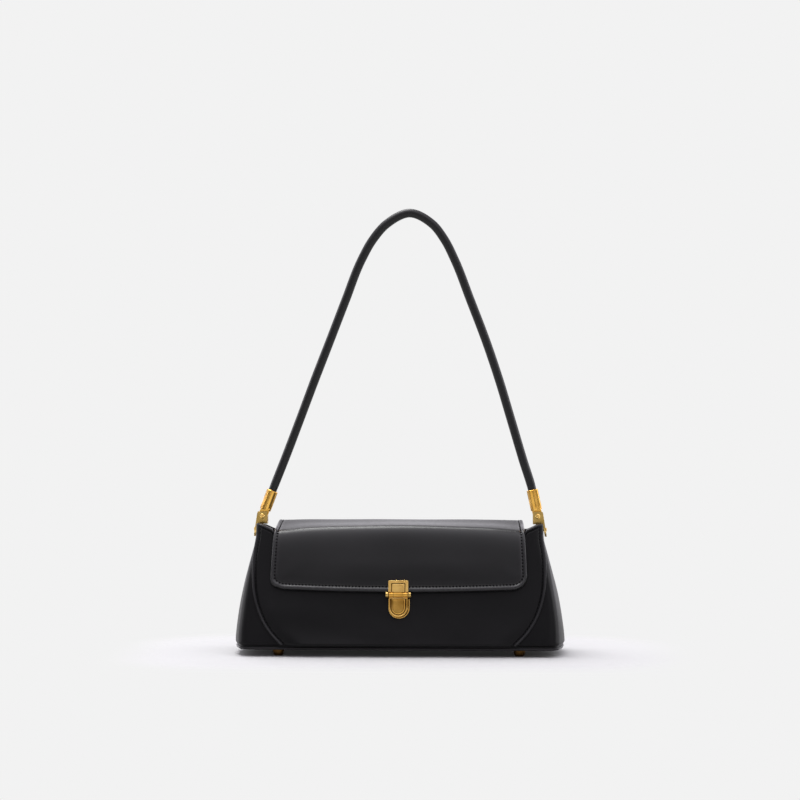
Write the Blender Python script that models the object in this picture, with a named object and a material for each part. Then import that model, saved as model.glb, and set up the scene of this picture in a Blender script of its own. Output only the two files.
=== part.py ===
# Baguette shoulder bag in smooth leather: a flared shell on four metal feet, a flap with a
# hinged clasp, and a rolled strap between two swinging clips. Metres, +Z up, front towards -Y.
import math

import bmesh
import bpy
from mathutils import Matrix, Vector

for old in list(bpy.data.objects):
    bpy.data.objects.remove(old, do_unlink=True)

# Fits shared by all the pieces
FIT_GAP = 0.0003
CUT_OVERRUN = 0.0020

# Layers of the shell
LEATHER = 0.0020
PANEL_PROUD = 0.0010
BOARD = 0.0012
LINING_CLOTH = 0.0008

# Feet and base
FOOT_HEIGHT = 0.0072
FOOT_RADIUS = 0.0052
FOOT_FLAT_RADIUS = 0.0030
FOOT_DOME_RISE = 0.0046
FOOT_SHANK_RADIUS = 0.0015
FOOT_FROM_END = 0.0402
FOOT_FROM_FACE = 0.0120
WASHER_RADIUS = 0.0042
WASHER_THICKNESS = 0.0008
BASE_BOARD = 0.0015

# Shell: widths at mid depth, depths, and the heights where the upper sizes hold
BASE_HALF_WIDTH = 0.1452
TOP_HALF_WIDTH = 0.1266
BASE_HALF_DEPTH = 0.0410
TOP_HALF_DEPTH = 0.0170
BASE_CORNER_RADIUS = 0.0060
TOP_CORNER_RADIUS = 0.0070
BASE_SIDE_BELLY = 0.0050
TOP_SIDE_BELLY = 0.0008
FRONT_BELLY_EDGE = 0.0003
FRONT_BELLY = 0.0014
SHOULDER_LEVEL = 0.1030
MOUTH_LEVEL = 0.1120
FLARE_POWER_SHARE = 1.5
FRONT_TOP_LEVEL = 0.1080
BACK_TOP_LEVEL = 0.1115
CORNER_TOP_LEVEL = 0.1139
GUSSET_TOP_LEVEL = 0.1040
INNER_TOP_LEVEL = 0.1000

# Seam between the front and a gusset: share of the shoulder height, share of the half width
SEAM_SHARES = (
    (0.0, 0.731), (0.118, 0.807), (0.27, 0.875), (0.457, 0.930),
    (0.632, 0.961), (0.807, 0.983), (1.0, 0.995),
)
BOARD_EDGE_SHARE = 0.95

# Flap
FLAP_LEATHER = 0.0014
FLAP_CLOTH = 0.0010
FLAP_STAND_OFF = 0.0015
FLAP_FROM_SIDE = 0.0190
FLAP_FLARE = 0.0034
FLAP_CORNER_RADIUS = 0.0110
FLAP_END_LEVEL = 0.0572
FLAP_END_BOW = 0.0019
FLAP_BACK_LEVEL = 0.1166
FLAP_FRONT_DROP = 0.0035
FLAP_CREASE_RADIUS = 0.0040
FLAP_ROOT_RADIUS = 0.0008
FLAP_CREASE_LEVEL = 0.1050

# Clasp, in a frame on the front panel: across, up the panel, and out of it
PIN_LEVEL = 0.0530
PIN_STAND_OFF = 0.0036
PIN_RADIUS = 0.0011
KNUCKLE_RADIUS = 0.0024
PIN_KNOB_RADIUS = 0.0024
PIN_KNOB_LENGTH = 0.0022
PIN_SHOULDER = 0.0007
CLASP_WIDTH = 0.0173
HASP_KNUCKLE_HALF = 0.0040
HASP_FOOT = 0.0014
HASP_HEAD = 0.0142
HASP_PLATE = 0.0016
HASP_RIM = 0.0028
HASP_SINK = 0.0006
HASP_CORNER = 0.0020
HASP_POST_RADIUS = 0.0010
HASP_POST_ACROSS = 0.0045
HASP_POST_UP = 0.0098
BACKING_HALF_WIDTH = 0.0070
BACKING_HALF_HEIGHT = 0.0028
BACKING_PLATE = 0.0010
LEVER_LENGTH = 0.0189
LEVER_CLEARANCE = 0.0006
LEVER_THICKNESS = 0.0022
LEVER_RIM = 0.0012
LEVER_GROOVE = 0.0022
LEVER_SINK = 0.0007
LEVER_STEP_SLOPE = 0.0001
LEVER_SHOULDER_UP = 0.0010
LOCK_PLATE = 0.0010
LOCK_HEAD = 0.0028
LOCK_BORDER = 0.0010
STUD_RADIUS = 0.0014
STUD_SHANK_RADIUS = 0.0010
STUD_DOWN = 0.0130
STUD_RISE = 0.0012
STUD_POCKET_RADIUS = 0.0021

# Strap, clips and ferrules
PIVOT_FROM_SIDE = 0.0050
PIVOT_LEVEL = 0.1200
SWING_LEVEL = 0.1083
EAR_RADIUS = 0.0047
STRAP_RISE = 0.2677
STRAP_RADIUS = 0.0037
STRAP_WALL = 0.0010
LEFT_LEAN = math.radians(21.0)
RIGHT_LEAN = math.radians(12.0)
FERRULE_RADIUS = 0.0050
FERRULE_FOOT = 0.0047
FERRULE_TOP = 0.0236
FERRULE_BORE_FOOT = 0.0130
FERRULE_NECK_RADIUS = 0.0042
FERRULE_NECK_RISE = 0.0012
TONGUE_HALF_WIDTH = 0.0034
TONGUE_HALF_DEPTH = 0.0017
CHEEK_RADIUS = 0.0042
CLIP_HALF_DEPTH = 0.0042
CLIP_BRIDGE_FOOT = 0.0052
CLIP_BRIDGE = 0.0020
CLIP_LEG = 0.0020
CLIP_INNER_LEG = 0.0016
CLIP_INNER_CLEARANCE = 0.0006
CLEVIS_SHANK_RADIUS = 0.0012
CLEVIS_HEAD_RADIUS = 0.0022
CLEVIS_HEAD = 0.0009
RIVET_SHANK_RADIUS = 0.0015
RIVET_HEAD_RADIUS = 0.0029
RIVET_HEAD = 0.0008

# Strap route from the left end to the right end: share of the pivot distance, share of the rise
STRAP_ROUTE_SHARES = (
    (-0.841, 0.185), (-0.730, 0.317), (-0.621, 0.449), (-0.508, 0.581), (-0.396, 0.713),
    (-0.281, 0.845), (-0.200, 0.911), (-0.098, 0.964), (0.072, 1.0), (0.234, 0.964),
    (0.325, 0.911), (0.398, 0.845), (0.511, 0.713), (0.622, 0.581), (0.720, 0.449),
    (0.807, 0.317), (0.893, 0.185),
)

# Slip pocket on the back lining
POCKET_HALF_WIDTH = 0.0600
POCKET_FOOT_LEVEL = 0.0350
POCKET_TOP_LEVEL = 0.0850
POCKET_CLOTH = 0.0010
POCKET_HEM = 0.0040
POCKET_HEM_SINK = 0.0010

# Facets
WALL_ROWS = 8
INNER_ROWS = 6
RING_FACETS = 16
SMALL_FACETS = 10
STRAP_FACETS = 8
STRAP_STEPS = 2

# Places across, worked out from the shell's width and depth
FOOT_ACROSS = BASE_HALF_WIDTH - FOOT_FROM_END
FOOT_FROM_MIDDLE = BASE_HALF_DEPTH - FOOT_FROM_FACE
PIVOT_ACROSS = TOP_HALF_WIDTH - PIVOT_FROM_SIDE
FLAP_HALF_WIDTH = TOP_HALF_WIDTH - FLAP_FROM_SIDE
FLAP_END_HALF_WIDTH = FLAP_HALF_WIDTH + FLAP_FLARE

# Heights of the layers, worked out from the sizes above
BASE_LEVEL = FOOT_HEIGHT + FIT_GAP
WALL_FOOT = BASE_LEVEL + LEATHER + FIT_GAP
BOARD_INSET = LEATHER + FIT_GAP
LINING_INSET = BOARD_INSET + BOARD + FIT_GAP
LINING_INNER_INSET = LINING_INSET + LINING_CLOTH
BASE_BOARD_TOP = WALL_FOOT + BASE_BOARD
BOARD_FOOT = BASE_BOARD_TOP + FIT_GAP
WASHER_FOOT = BASE_BOARD_TOP + FIT_GAP
SHANK_TOP = WASHER_FOOT + WASHER_THICKNESS + FIT_GAP
LINING_FOOT = SHANK_TOP + FIT_GAP
FLAP_DEPTH = FLAP_CLOTH + FIT_GAP + FLAP_LEATHER


def mix(low, high, share):
    return low + (high - low) * share


def read_table(table, share):
    """Value of a table of (share, value) pairs, straight between its entries."""
    share = min(max(share, table[0][0]), table[-1][0])
    for (low, low_value), (high, high_value) in zip(table, table[1:]):
        if share <= high:
            return mix(low_value, high_value, (share - low) / (high - low))
    return table[-1][1]


# The shell's level section is four arcs joined by four corner arcs, all with common tangents.
def flare_share(level):
    return min(max((level - WALL_FOOT) / (SHOULDER_LEVEL - WALL_FOOT), 0), 1)


def depth_share(level):
    return max((level - WALL_FOOT) / (MOUTH_LEVEL - WALL_FOOT), 0)


def half_depth(level):
    return mix(BASE_HALF_DEPTH, TOP_HALF_DEPTH, depth_share(level))


def widest_half(level):
    return mix(BASE_HALF_WIDTH, TOP_HALF_WIDTH, flare_share(level) ** FLARE_POWER_SHARE)


def flat_half_width(level):
    return widest_half(level) - mix(BASE_SIDE_BELLY, TOP_SIDE_BELLY, flare_share(level))


class Section:
    def __init__(self, level):
        flare = flare_share(level)
        self.radius = mix(BASE_CORNER_RADIUS, TOP_CORNER_RADIUS, flare)
        side_belly = mix(BASE_SIDE_BELLY, TOP_SIDE_BELLY, flare)
        crown = math.sin(math.pi * min(depth_share(level), 1))
        front_belly = FRONT_BELLY_EDGE + FRONT_BELLY * crown
        self.corner_x = widest_half(level) - side_belly - self.radius
        self.corner_y = half_depth(level) - self.radius
        self.side_tilt = 2 * math.atan(side_belly / self.corner_y)
        self.front_tilt = 2 * math.atan(front_belly / self.corner_x)
        side_reach = self.corner_y / math.sin(self.side_tilt)
        front_reach = self.corner_x / math.sin(self.front_tilt)
        self.side_radius = self.radius + side_reach
        self.front_radius = self.radius + front_reach
        self.side_centre = self.corner_x - side_reach * math.cos(self.side_tilt)
        self.front_centre = front_reach * math.cos(self.front_tilt) - self.corner_y
        self.corner_turn = math.pi / 2 - self.side_tilt - self.front_tilt

    def point(self, station, inset):
        """Place at a station: 0 front middle, 1 to 2 front corner, 3 side middle, 6 back middle."""
        along = abs(station)
        behind = along > 3
        if behind:
            along = 6 - along
        if along <= 1:
            angle = self.front_tilt * along
            x = (self.front_radius - inset) * math.sin(angle)
            y = self.front_centre - (self.front_radius - inset) * math.cos(angle)
        elif along <= 2:
            angle = self.front_tilt + self.corner_turn * (along - 1)
            x = self.corner_x + (self.radius - inset) * math.sin(angle)
            y = -self.corner_y - (self.radius - inset) * math.cos(angle)
        else:
            angle = self.side_tilt * (3 - along)
            x = self.side_centre + (self.side_radius - inset) * math.cos(angle)
            y = -(self.side_radius - inset) * math.sin(angle)
        return math.copysign(x, station) if station else x, -y if behind else y

    def station_of(self, x):
        """Station on the front half where the outer skin is at this distance across."""
        front_end = self.front_radius * math.sin(self.front_tilt)
        if x <= front_end:
            return math.asin(x / self.front_radius) / self.front_tilt
        angle = math.asin(min((x - self.corner_x) / self.radius, 1))
        return 1 + (angle - self.front_tilt) / self.corner_turn

    def seam_station(self, level, gap):
        """Station of the gusset's edge, a gap away from the seam."""
        station = self.station_of(seam_across(level))
        unit = self.front_radius * self.front_tilt
        if station > 1:
            unit = self.radius * self.corner_turn
        return station + gap / unit


def seam_across(level):
    return read_table(SEAM_SHARES, flare_share(level)) * flat_half_width(level)


def skin(station, level, inset):
    x, y = Section(level).point(station, inset)
    return Vector((x, y, level))


def front_skin(x, level, inset):
    """Place on the front skin or a parallel of it, straight in front of a distance across."""
    section = Section(level)
    reach = section.front_radius - inset
    return Vector((x, section.front_centre - math.sqrt(reach ** 2 - x ** 2), level))


# Materials, by finish
def make_material(name, colour, roughness, metallic):
    material = bpy.data.materials.new(name)
    material.use_nodes = True
    shader = material.node_tree.nodes["Principled BSDF"]
    shader.inputs["Base Color"].default_value = (*colour, 1.0)
    shader.inputs["Roughness"].default_value = roughness
    shader.inputs["Metallic"].default_value = metallic
    material.diffuse_color = (*colour, 1.0)
    return material


LEATHER_LOOK = {"colour": (0.014, 0.013, 0.015), "roughness": 0.38, "metallic": 0.0}
CLOTH_LOOK = {"colour": (0.020, 0.018, 0.018), "roughness": 0.85, "metallic": 0.0}
BOARD_LOOK = {"colour": (0.30, 0.24, 0.17), "roughness": 0.90, "metallic": 0.0}
BRASS_LOOK = {"colour": (0.62, 0.40, 0.13), "roughness": 0.30, "metallic": 1.0}
FOAM_LOOK = {"colour": (0.45, 0.45, 0.42), "roughness": 0.95, "metallic": 0.0}


def add_object(name, body, look):
    mesh = bpy.data.meshes.new(name)
    bmesh.ops.recalc_face_normals(body, faces=body.faces)
    body.to_mesh(mesh)
    body.free()
    piece = bpy.data.objects.new(name, mesh)
    bpy.context.scene.collection.objects.link(piece)
    if look:
        mesh.materials.append(make_material(name, **look))
        mesh.shade_smooth()
        mesh.set_sharp_from_angle(angle=math.radians(35))
    return piece


def add_cutter(name, body):
    cutter = add_object(name, body, None)
    cutter.hide_render = True
    cutter.display_type = "WIRE"
    return cutter


def combine(piece, operation, tool):
    step = piece.modifiers.new(operation.lower() + "_" + tool.name, "BOOLEAN")
    step.operation = operation
    step.solver = "EXACT"
    step.object = tool
    tool.hide_render = True
    tool.display_type = "WIRE"


def prism(outline, low, high, frame=None):
    """Closed outline in the frame's own plane, from low to high along its normal."""
    body = bmesh.new()
    face = body.faces.new([body.verts.new((x, y, low)) for x, y in outline])
    grown = bmesh.ops.extrude_face_region(body, geom=[face])
    moved = [item for item in grown["geom"] if isinstance(item, bmesh.types.BMVert)]
    bmesh.ops.translate(body, verts=moved, vec=(0, 0, high - low))
    if frame:
        bmesh.ops.transform(body, matrix=frame, verts=body.verts)
    return body


def turned(profile, facets, frame):
    """Profile of (radius, along) turned about the frame's own Z, closed at its ends."""
    body = bmesh.new()
    rings = []
    for radius, along in profile:
        ring = []
        for step in range(facets):
            angle = 2 * math.pi * step / facets
            ring.append(body.verts.new((radius * math.cos(angle), radius * math.sin(angle), along)))
        rings.append(ring)
    for lower, upper in zip(rings, rings[1:]):
        for step in range(facets):
            after = (step + 1) % facets
            body.faces.new((lower[step], lower[after], upper[after], upper[step]))
    body.faces.new(rings[0][::-1])
    body.faces.new(rings[-1])
    bmesh.ops.transform(body, matrix=frame, verts=body.verts)
    return body


def block(low, high):
    """Box between two corners."""
    outline = [(low[0], low[1]), (high[0], low[1]), (high[0], high[1]), (low[0], high[1])]
    return prism(outline, low[2], high[2])


def arc(centre, radius, start, end, steps):
    """Points of an arc in degrees, both ends included."""
    points = []
    for step in range(steps + 1):
        angle = math.radians(mix(start, end, step / steps))
        points.append((centre[0] + radius * math.cos(angle), centre[1] + radius * math.sin(angle)))
    return points


def slab(outer, inner):
    """Closed slab between two grids of places, rows of equal length."""
    body = bmesh.new()
    faces = [[[body.verts.new(place) for place in row] for row in grid] for grid in (outer, inner)]
    rows = len(outer)
    columns = len(outer[0])
    for grid in faces:
        for i in range(rows - 1):
            for j in range(columns - 1):
                body.faces.new((grid[i][j], grid[i][j + 1], grid[i + 1][j + 1], grid[i + 1][j]))
    top, under = faces
    for i in range(rows - 1):
        for j in (0, columns - 1):
            body.faces.new((top[i][j], top[i + 1][j], under[i + 1][j], under[i][j]))
    for j in range(columns - 1):
        for i in (0, rows - 1):
            body.faces.new((top[i][j], top[i][j + 1], under[i][j + 1], under[i][j]))
    return body


def along_x(x, y, z):
    """Frame whose own Z runs along +X through a place."""
    return Matrix.Translation((x, y, z)) @ Matrix.Rotation(math.pi / 2, 4, "Y")


def along_y(x, y, z):
    """Frame whose own Z runs along -Y through a place, its own Y up."""
    return Matrix.Translation((x, y, z)) @ Matrix.Rotation(math.pi / 2, 4, "X")


# Front and back panels, proud of the gussets, with raised top corners
PANEL_COLUMN_SHARES = (0, 0.14, 0.28, 0.42, 0.56, 0.70, 0.80, 0.872, 0.90, 0.926, 0.96, 0.985, 1.0)
CORNER_START_SHARE = 0.872
CORNER_END_SHARE = 0.926


def panel_top(share, middle_level):
    ramp = (abs(share) - CORNER_START_SHARE) / (CORNER_END_SHARE - CORNER_START_SHARE)
    ramp = min(max(ramp, 0), 1)
    return mix(middle_level, CORNER_TOP_LEVEL, ramp)


def wall_level(top, row):
    """Height of a row of a wall: even rows up to the shoulder, then one at the top."""
    if row == WALL_ROWS:
        return top
    return mix(WALL_FOOT, SHOULDER_LEVEL, row / (WALL_ROWS - 1))


def make_panel(name, middle_level, behind):
    shares = [-share for share in PANEL_COLUMN_SHARES[:0:-1]] + list(PANEL_COLUMN_SHARES)
    grids = []
    for inset in (-PANEL_PROUD, LEATHER):
        grid = []
        for i in range(WALL_ROWS + 1):
            row = []
            for share in shares:
                level = wall_level(panel_top(share, middle_level), i)
                section = Section(level)
                station = section.station_of(abs(share) * seam_across(level))
                x, y = section.point(math.copysign(station, share), inset)
                row.append((x, -y if behind else y, level))
            grid.append(row)
        grids.append(grid)
    return add_object(name, slab(*grids), LEATHER_LOOK)


front_panel = make_panel("front_panel", FRONT_TOP_LEVEL, False)
back_panel = make_panel("back_panel", BACK_TOP_LEVEL, True)

# Gussets: from seam to seam round the side, with an ear at mid depth for the clip
GUSSET_COLUMN_SHARES = (
    0, 0.05, 0.106, 0.20, 0.29, 0.38, 0.465, 0.553, 0.62, 0.650, 0.680, 0.755, 0.867, 1.0,
)
GUSSET_SHOULDER_SHARE = 0.29


def gusset_top(share, station):
    """Top of the gusset: high at the seam, low at the shoulder, round at the ear."""
    depth = abs(skin(station, SWING_LEVEL, 0).y)
    if depth < EAR_RADIUS:
        return SWING_LEVEL + math.sqrt(EAR_RADIUS ** 2 - depth ** 2)
    fall = min(share / GUSSET_SHOULDER_SHARE, 1)
    return mix(CORNER_TOP_LEVEL, GUSSET_TOP_LEVEL, fall)


def make_gusset(name, hand):
    shares = list(GUSSET_COLUMN_SHARES) + [2 - share for share in GUSSET_COLUMN_SHARES[-2::-1]]
    top_seam = Section(MOUTH_LEVEL).seam_station(MOUTH_LEVEL, FIT_GAP)
    grids = []
    for inset in (0, LEATHER):
        grid = []
        for i in range(WALL_ROWS + 1):
            row = []
            for share in shares:
                near = min(share, 2 - share)
                top = gusset_top(near, mix(top_seam, 3, near))
                level = wall_level(top, i)
                section = Section(level)
                station = mix(section.seam_station(level, FIT_GAP), 3, near)
                if share > 1:
                    station = 6 - station
                x, y = section.point(station, inset)
                row.append((hand * x, y, level))
            grid.append(row)
        grids.append(grid)
    gusset = add_object(name, slab(*grids), LEATHER_LOOK)
    shank_hole = RIVET_SHANK_RADIUS + FIT_GAP
    middle = hand * TOP_HALF_WIDTH
    reach = LEATHER + CUT_OVERRUN
    hole = turned([(shank_hole, -reach), (shank_hole, reach)], SMALL_FACETS,
                  along_x(middle, 0, SWING_LEVEL))
    combine(gusset, "DIFFERENCE", add_cutter(name + "_hole", hole))
    return gusset


left_gusset = make_gusset("left_gusset", -1)
right_gusset = make_gusset("right_gusset", 1)


# Base panel and its board, with holes for the feet
def section_outline(level, inset):
    stations = [0, 0.25, 0.5, 0.75, 1, 1.25, 1.5, 1.75, 2, 2.33, 2.67, 3]
    stations += [6 - station for station in stations[-2::-1]]
    right = [Section(level).point(station, inset) for station in stations]
    left = [(-x, y) for x, y in right[-2:0:-1]]
    return right + left


FEET = {
    "front_left": (-FOOT_ACROSS, -FOOT_FROM_MIDDLE),
    "front_right": (FOOT_ACROSS, -FOOT_FROM_MIDDLE),
    "back_left": (-FOOT_ACROSS, FOOT_FROM_MIDDLE),
    "back_right": (FOOT_ACROSS, FOOT_FROM_MIDDLE),
}


def drill_for_feet(piece):
    hole = FOOT_SHANK_RADIUS + FIT_GAP
    for place, (x, y) in FEET.items():
        frame = Matrix.Translation((x, y, 0))
        drill = turned([(hole, BASE_LEVEL - CUT_OVERRUN), (hole, LINING_FOOT)], SMALL_FACETS, frame)
        combine(piece, "DIFFERENCE", add_cutter(piece.name + "_hole_" + place, drill))


base_panel = add_object(
    "base_panel", prism(section_outline(WALL_FOOT, 0), BASE_LEVEL, BASE_LEVEL + LEATHER), LEATHER_LOOK
)
drill_for_feet(base_panel)
base_board = add_object(
    "base_board", prism(section_outline(WALL_FOOT, LINING_INSET), WALL_FOOT, BASE_BOARD_TOP), BOARD_LOOK
)
drill_for_feet(base_board)


# Feet: flat underneath, domed at the rim, with a shank through the base and a washer on it
def make_foot(place, x, y):
    profile = [(FOOT_FLAT_RADIUS, 0)]
    for step in range(1, 6):
        angle = math.pi / 2 * step / 5
        profile.append((
            mix(FOOT_FLAT_RADIUS, FOOT_RADIUS, math.sin(angle)),
            FOOT_DOME_RISE * (1 - math.cos(angle)),
        ))
    profile.append((FOOT_RADIUS, FOOT_HEIGHT))
    profile.append((FOOT_SHANK_RADIUS, FOOT_HEIGHT))
    profile.append((FOOT_SHANK_RADIUS, SHANK_TOP))
    frame = Matrix.Translation((x, y, 0))
    add_object("foot_" + place, turned(profile, RING_FACETS, frame), BRASS_LOOK)
    washer = add_object("foot_washer_" + place, turned(
        [(WASHER_RADIUS, WASHER_FOOT), (WASHER_RADIUS, WASHER_FOOT + WASHER_THICKNESS)],
        RING_FACETS, frame), BRASS_LOOK)
    hole = FOOT_SHANK_RADIUS + FIT_GAP
    drill = turned([(hole, WASHER_FOOT - CUT_OVERRUN), (hole, SHANK_TOP + CUT_OVERRUN)],
                   SMALL_FACETS, frame)
    combine(washer, "DIFFERENCE", add_cutter("foot_washer_hole_" + place, drill))


for place, (x, y) in FEET.items():
    make_foot(place, x, y)


# Lining: an open sack a board's thickness inside the leather
def make_lining():
    body = bmesh.new()
    stations = [0, 0.25, 0.5, 0.75, 1, 1.33, 1.67, 2, 2.5, 3]
    stations += [6 - station for station in stations[-2::-1]]
    walls = []
    for inset, foot in ((LINING_INSET, LINING_FOOT), (LINING_INNER_INSET, LINING_FOOT + LINING_CLOTH)):
        wall = []
        for i in range(INNER_ROWS + 1):
            level = mix(foot, INNER_TOP_LEVEL, i / INNER_ROWS)
            section = Section(level)
            right = [section.point(station, inset) for station in stations]
            ring = right + [(-x, y) for x, y in right[-2:0:-1]]
            wall.append([body.verts.new((x, y, level)) for x, y in ring])
        walls.append(wall)
    count = len(walls[0][0])
    for wall in walls:
        for lower, upper in zip(wall, wall[1:]):
            for j in range(count):
                after = (j + 1) % count
                body.faces.new((lower[j], lower[after], upper[after], upper[j]))
        body.faces.new(wall[0])
    outer_rim = walls[0][-1]
    inner_rim = walls[1][-1]
    for j in range(count):
        after = (j + 1) % count
        body.faces.new((outer_rim[j], outer_rim[after], inner_rim[after], inner_rim[j]))
    return add_object("lining", body, CLOTH_LOOK)


lining = make_lining()


# Stiffening boards behind the front and back panels
def make_wall_board(name, behind):
    shares = [step / 5 * BOARD_EDGE_SHARE for step in range(-5, 6)]
    grids = []
    for inset in (BOARD_INSET, BOARD_INSET + BOARD):
        grid = []
        for i in range(INNER_ROWS + 1):
            level = mix(BOARD_FOOT, INNER_TOP_LEVEL, i / INNER_ROWS)
            section = Section(level)
            row = []
            for share in shares:
                x, y = section.point(share, inset)
                row.append((x, -y if behind else y, level))
            grid.append(row)
        grids.append(grid)
    return add_object(name, slab(*grids), BOARD_LOOK)


front_board = make_wall_board("front_board", False)
back_board = make_wall_board("back_board", True)


# Slip pocket: a patch whose hem stands nearer the lining on three sides, open at the top
def make_pocket():
    edge = POCKET_HALF_WIDTH - POCKET_HEM
    free_edge = edge - POCKET_HEM_SINK
    across = [-POCKET_HALF_WIDTH, -edge, -free_edge, -free_edge / 2, 0]
    across += [-x for x in across[-2::-1]]
    foot_hem = POCKET_FOOT_LEVEL + POCKET_HEM
    free_foot = foot_hem + POCKET_HEM_SINK
    levels = [POCKET_FOOT_LEVEL, foot_hem]
    levels += [mix(free_foot, POCKET_TOP_LEVEL, step / 5) for step in range(6)]
    seat = LINING_INNER_INSET + FIT_GAP
    lining_side = []
    free_side = []
    for level in levels:
        lining_row = []
        free_row = []
        for x in across:
            free = level >= free_foot and abs(x) <= free_edge
            far = front_skin(x, level, seat + POCKET_HEM_SINK if free else seat)
            near = front_skin(x, level, seat + POCKET_HEM_SINK + POCKET_CLOTH)
            lining_row.append((x, -far.y, level))
            free_row.append((x, -near.y, level))
        lining_side.append(lining_row)
        free_side.append(free_row)
    return add_object("slip_pocket", slab(lining_side, free_side), CLOTH_LOOK)


slip_pocket = make_pocket()


# Flap: up from the back panel, over the mouth, round a crease and down the front
FLAP_COLUMN_SHARES = (0, 0.15, 0.30, 0.45, 0.60, 0.74, 0.86, 0.94, 1.0)
FLAP_BACK_FACE = -front_skin(0, BACK_TOP_LEVEL, -PANEL_PROUD).y
FLAP_ROOT_LEVEL = BACK_TOP_LEVEL + 2 * FIT_GAP
HINGE_LEVEL = BACK_TOP_LEVEL + FIT_GAP
HINGE_DEPTH = FLAP_BACK_FACE + FIT_GAP / 2


def tangent_centre(place_a, normal_a, place_b, normal_b, radius):
    """Centre of the arc that joins two lines of a side view from inside."""
    reach_a = place_a.dot(normal_a) - radius
    reach_b = place_b.dot(normal_b) - radius
    spread = normal_a.x * normal_b.y - normal_a.y * normal_b.x
    return Vector((
        (reach_a * normal_b.y - reach_b * normal_a.y) / spread,
        (reach_b * normal_a.x - reach_a * normal_b.x) / spread,
    ))


def side_view(place):
    return Vector((place.y, place.z))


def flap_half_width(level):
    share = (FLAP_CREASE_LEVEL - level) / (FLAP_CREASE_LEVEL - FLAP_END_LEVEL)
    return mix(FLAP_HALF_WIDTH, FLAP_END_HALF_WIDTH, min(max(share, 0), 1))


def flap_column(share, offset):
    """Places down one column of a flap layer, at an offset from the flap's inner face."""
    inner_inset = -PANEL_PROUD - FLAP_STAND_OFF
    x_crease = share * FLAP_HALF_WIDTH
    low = side_view(front_skin(x_crease, FLAP_CREASE_LEVEL, inner_inset))
    high = side_view(front_skin(x_crease, MOUTH_LEVEL, inner_inset))
    rise = (high - low).normalized()
    front_normal = Vector((-rise.y, rise.x))
    top_normal = Vector((-FLAP_FRONT_DROP, 2 * TOP_HALF_DEPTH)).normalized()
    back_normal = Vector((1, 0))
    top_place = Vector((FLAP_BACK_FACE, FLAP_BACK_LEVEL)) - top_normal * FLAP_DEPTH
    back_place = Vector((FLAP_BACK_FACE - FLAP_DEPTH, FLAP_ROOT_LEVEL))
    crease = tangent_centre(low, front_normal, top_place, top_normal, FLAP_CREASE_RADIUS)
    root = tangent_centre(back_place, back_normal, top_place, top_normal, FLAP_ROOT_RADIUS)
    views = [back_place + back_normal * offset]
    top_turn = math.degrees(math.atan2(top_normal.y, top_normal.x))
    front_turn = math.degrees(math.atan2(front_normal.y, front_normal.x))
    views += [Vector(place) for place in arc(root, FLAP_ROOT_RADIUS + offset, 0, top_turn, 4)]
    crease_arc = arc(crease, FLAP_CREASE_RADIUS + offset, top_turn, front_turn, 5)
    top_start = views[-1]
    for step in (1, 2):
        views.append(top_start.lerp(Vector(crease_arc[0]), step / 3))
    views += [Vector(place) for place in crease_arc]
    places = [Vector((x_crease, view.x, view.y)) for view in views]
    start_level = places[-1].z
    end_level = FLAP_END_LEVEL + FLAP_END_BOW * share ** 2
    corner_level = end_level + FLAP_CORNER_RADIUS
    rows = [(mix(start_level, corner_level, step / 4), 0) for step in (1, 2, 3)]
    for step in range(5):
        turn = math.pi / 2 * step / 4
        rows.append((
            corner_level - FLAP_CORNER_RADIUS * math.sin(turn),
            FLAP_CORNER_RADIUS * (1 - math.cos(turn)),
        ))
    for level, narrower in rows:
        x = share * (flap_half_width(level) - narrower)
        places.append(front_skin(x, level, inner_inset - offset))
    return places


def make_flap_layer(name, low, high, look):
    shares = [-share for share in FLAP_COLUMN_SHARES[:0:-1]] + list(FLAP_COLUMN_SHARES)
    outer = [flap_column(share, high) for share in shares]
    inner = [flap_column(share, low) for share in shares]
    return add_object(name, slab(outer, inner), look)


flap = make_flap_layer("flap", FLAP_CLOTH + FIT_GAP, FLAP_DEPTH, LEATHER_LOOK)
flap_lining = make_flap_layer("flap_lining", 0, FLAP_CLOTH, CLOTH_LOOK)


# Clasp: frames on the front panel with X across, Y up the panel and Z out of it
def front_frame(low_level, high_level):
    low = front_skin(0, low_level, -PANEL_PROUD)
    high = front_skin(0, high_level, -PANEL_PROUD)
    across = Vector((1, 0, 0))
    up = (high - low).normalized()
    out = across.cross(up)
    frame = Matrix((across, up, out)).transposed().to_4x4()
    return Matrix.Translation(front_skin(0, PIN_LEVEL, -PANEL_PROUD)) @ frame


LOCK_FRAME = front_frame(PIN_LEVEL - LEVER_LENGTH, PIN_LEVEL)
HASP_FRAME = front_frame(PIN_LEVEL, PIN_LEVEL + HASP_HEAD)
PIN_PLACE = LOCK_FRAME @ Vector((0, 0, PIN_STAND_OFF))
HASP_SEAT = FLAP_STAND_OFF + FLAP_DEPTH + FIT_GAP
HASP_SIDE_FOOT = KNUCKLE_RADIUS + FIT_GAP
LEVER_BACK = FIT_GAP + LOCK_PLATE + LEVER_CLEARANCE
POST_HOLE = HASP_POST_RADIUS + FIT_GAP


def clasp_block(name, frame, low, high):
    body = block(low, high)
    bmesh.ops.transform(body, matrix=frame, verts=body.verts)
    return add_cutter(name, body)


def pin_round(radius, start, end):
    """Round along the clasp pin between two places across."""
    return turned([(radius, start), (radius, end)], RING_FACETS, along_x(*PIN_PLACE))


def rounded_head(half_width, foot, head, radius):
    """Plate outline with square lower corners and round upper ones."""
    outline = [(-half_width, foot), (half_width, foot)]
    outline += arc((half_width - radius, head - radius), radius, 0, 90, 4)
    outline += arc((radius - half_width, head - radius), radius, 90, 180, 4)
    return outline


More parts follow.
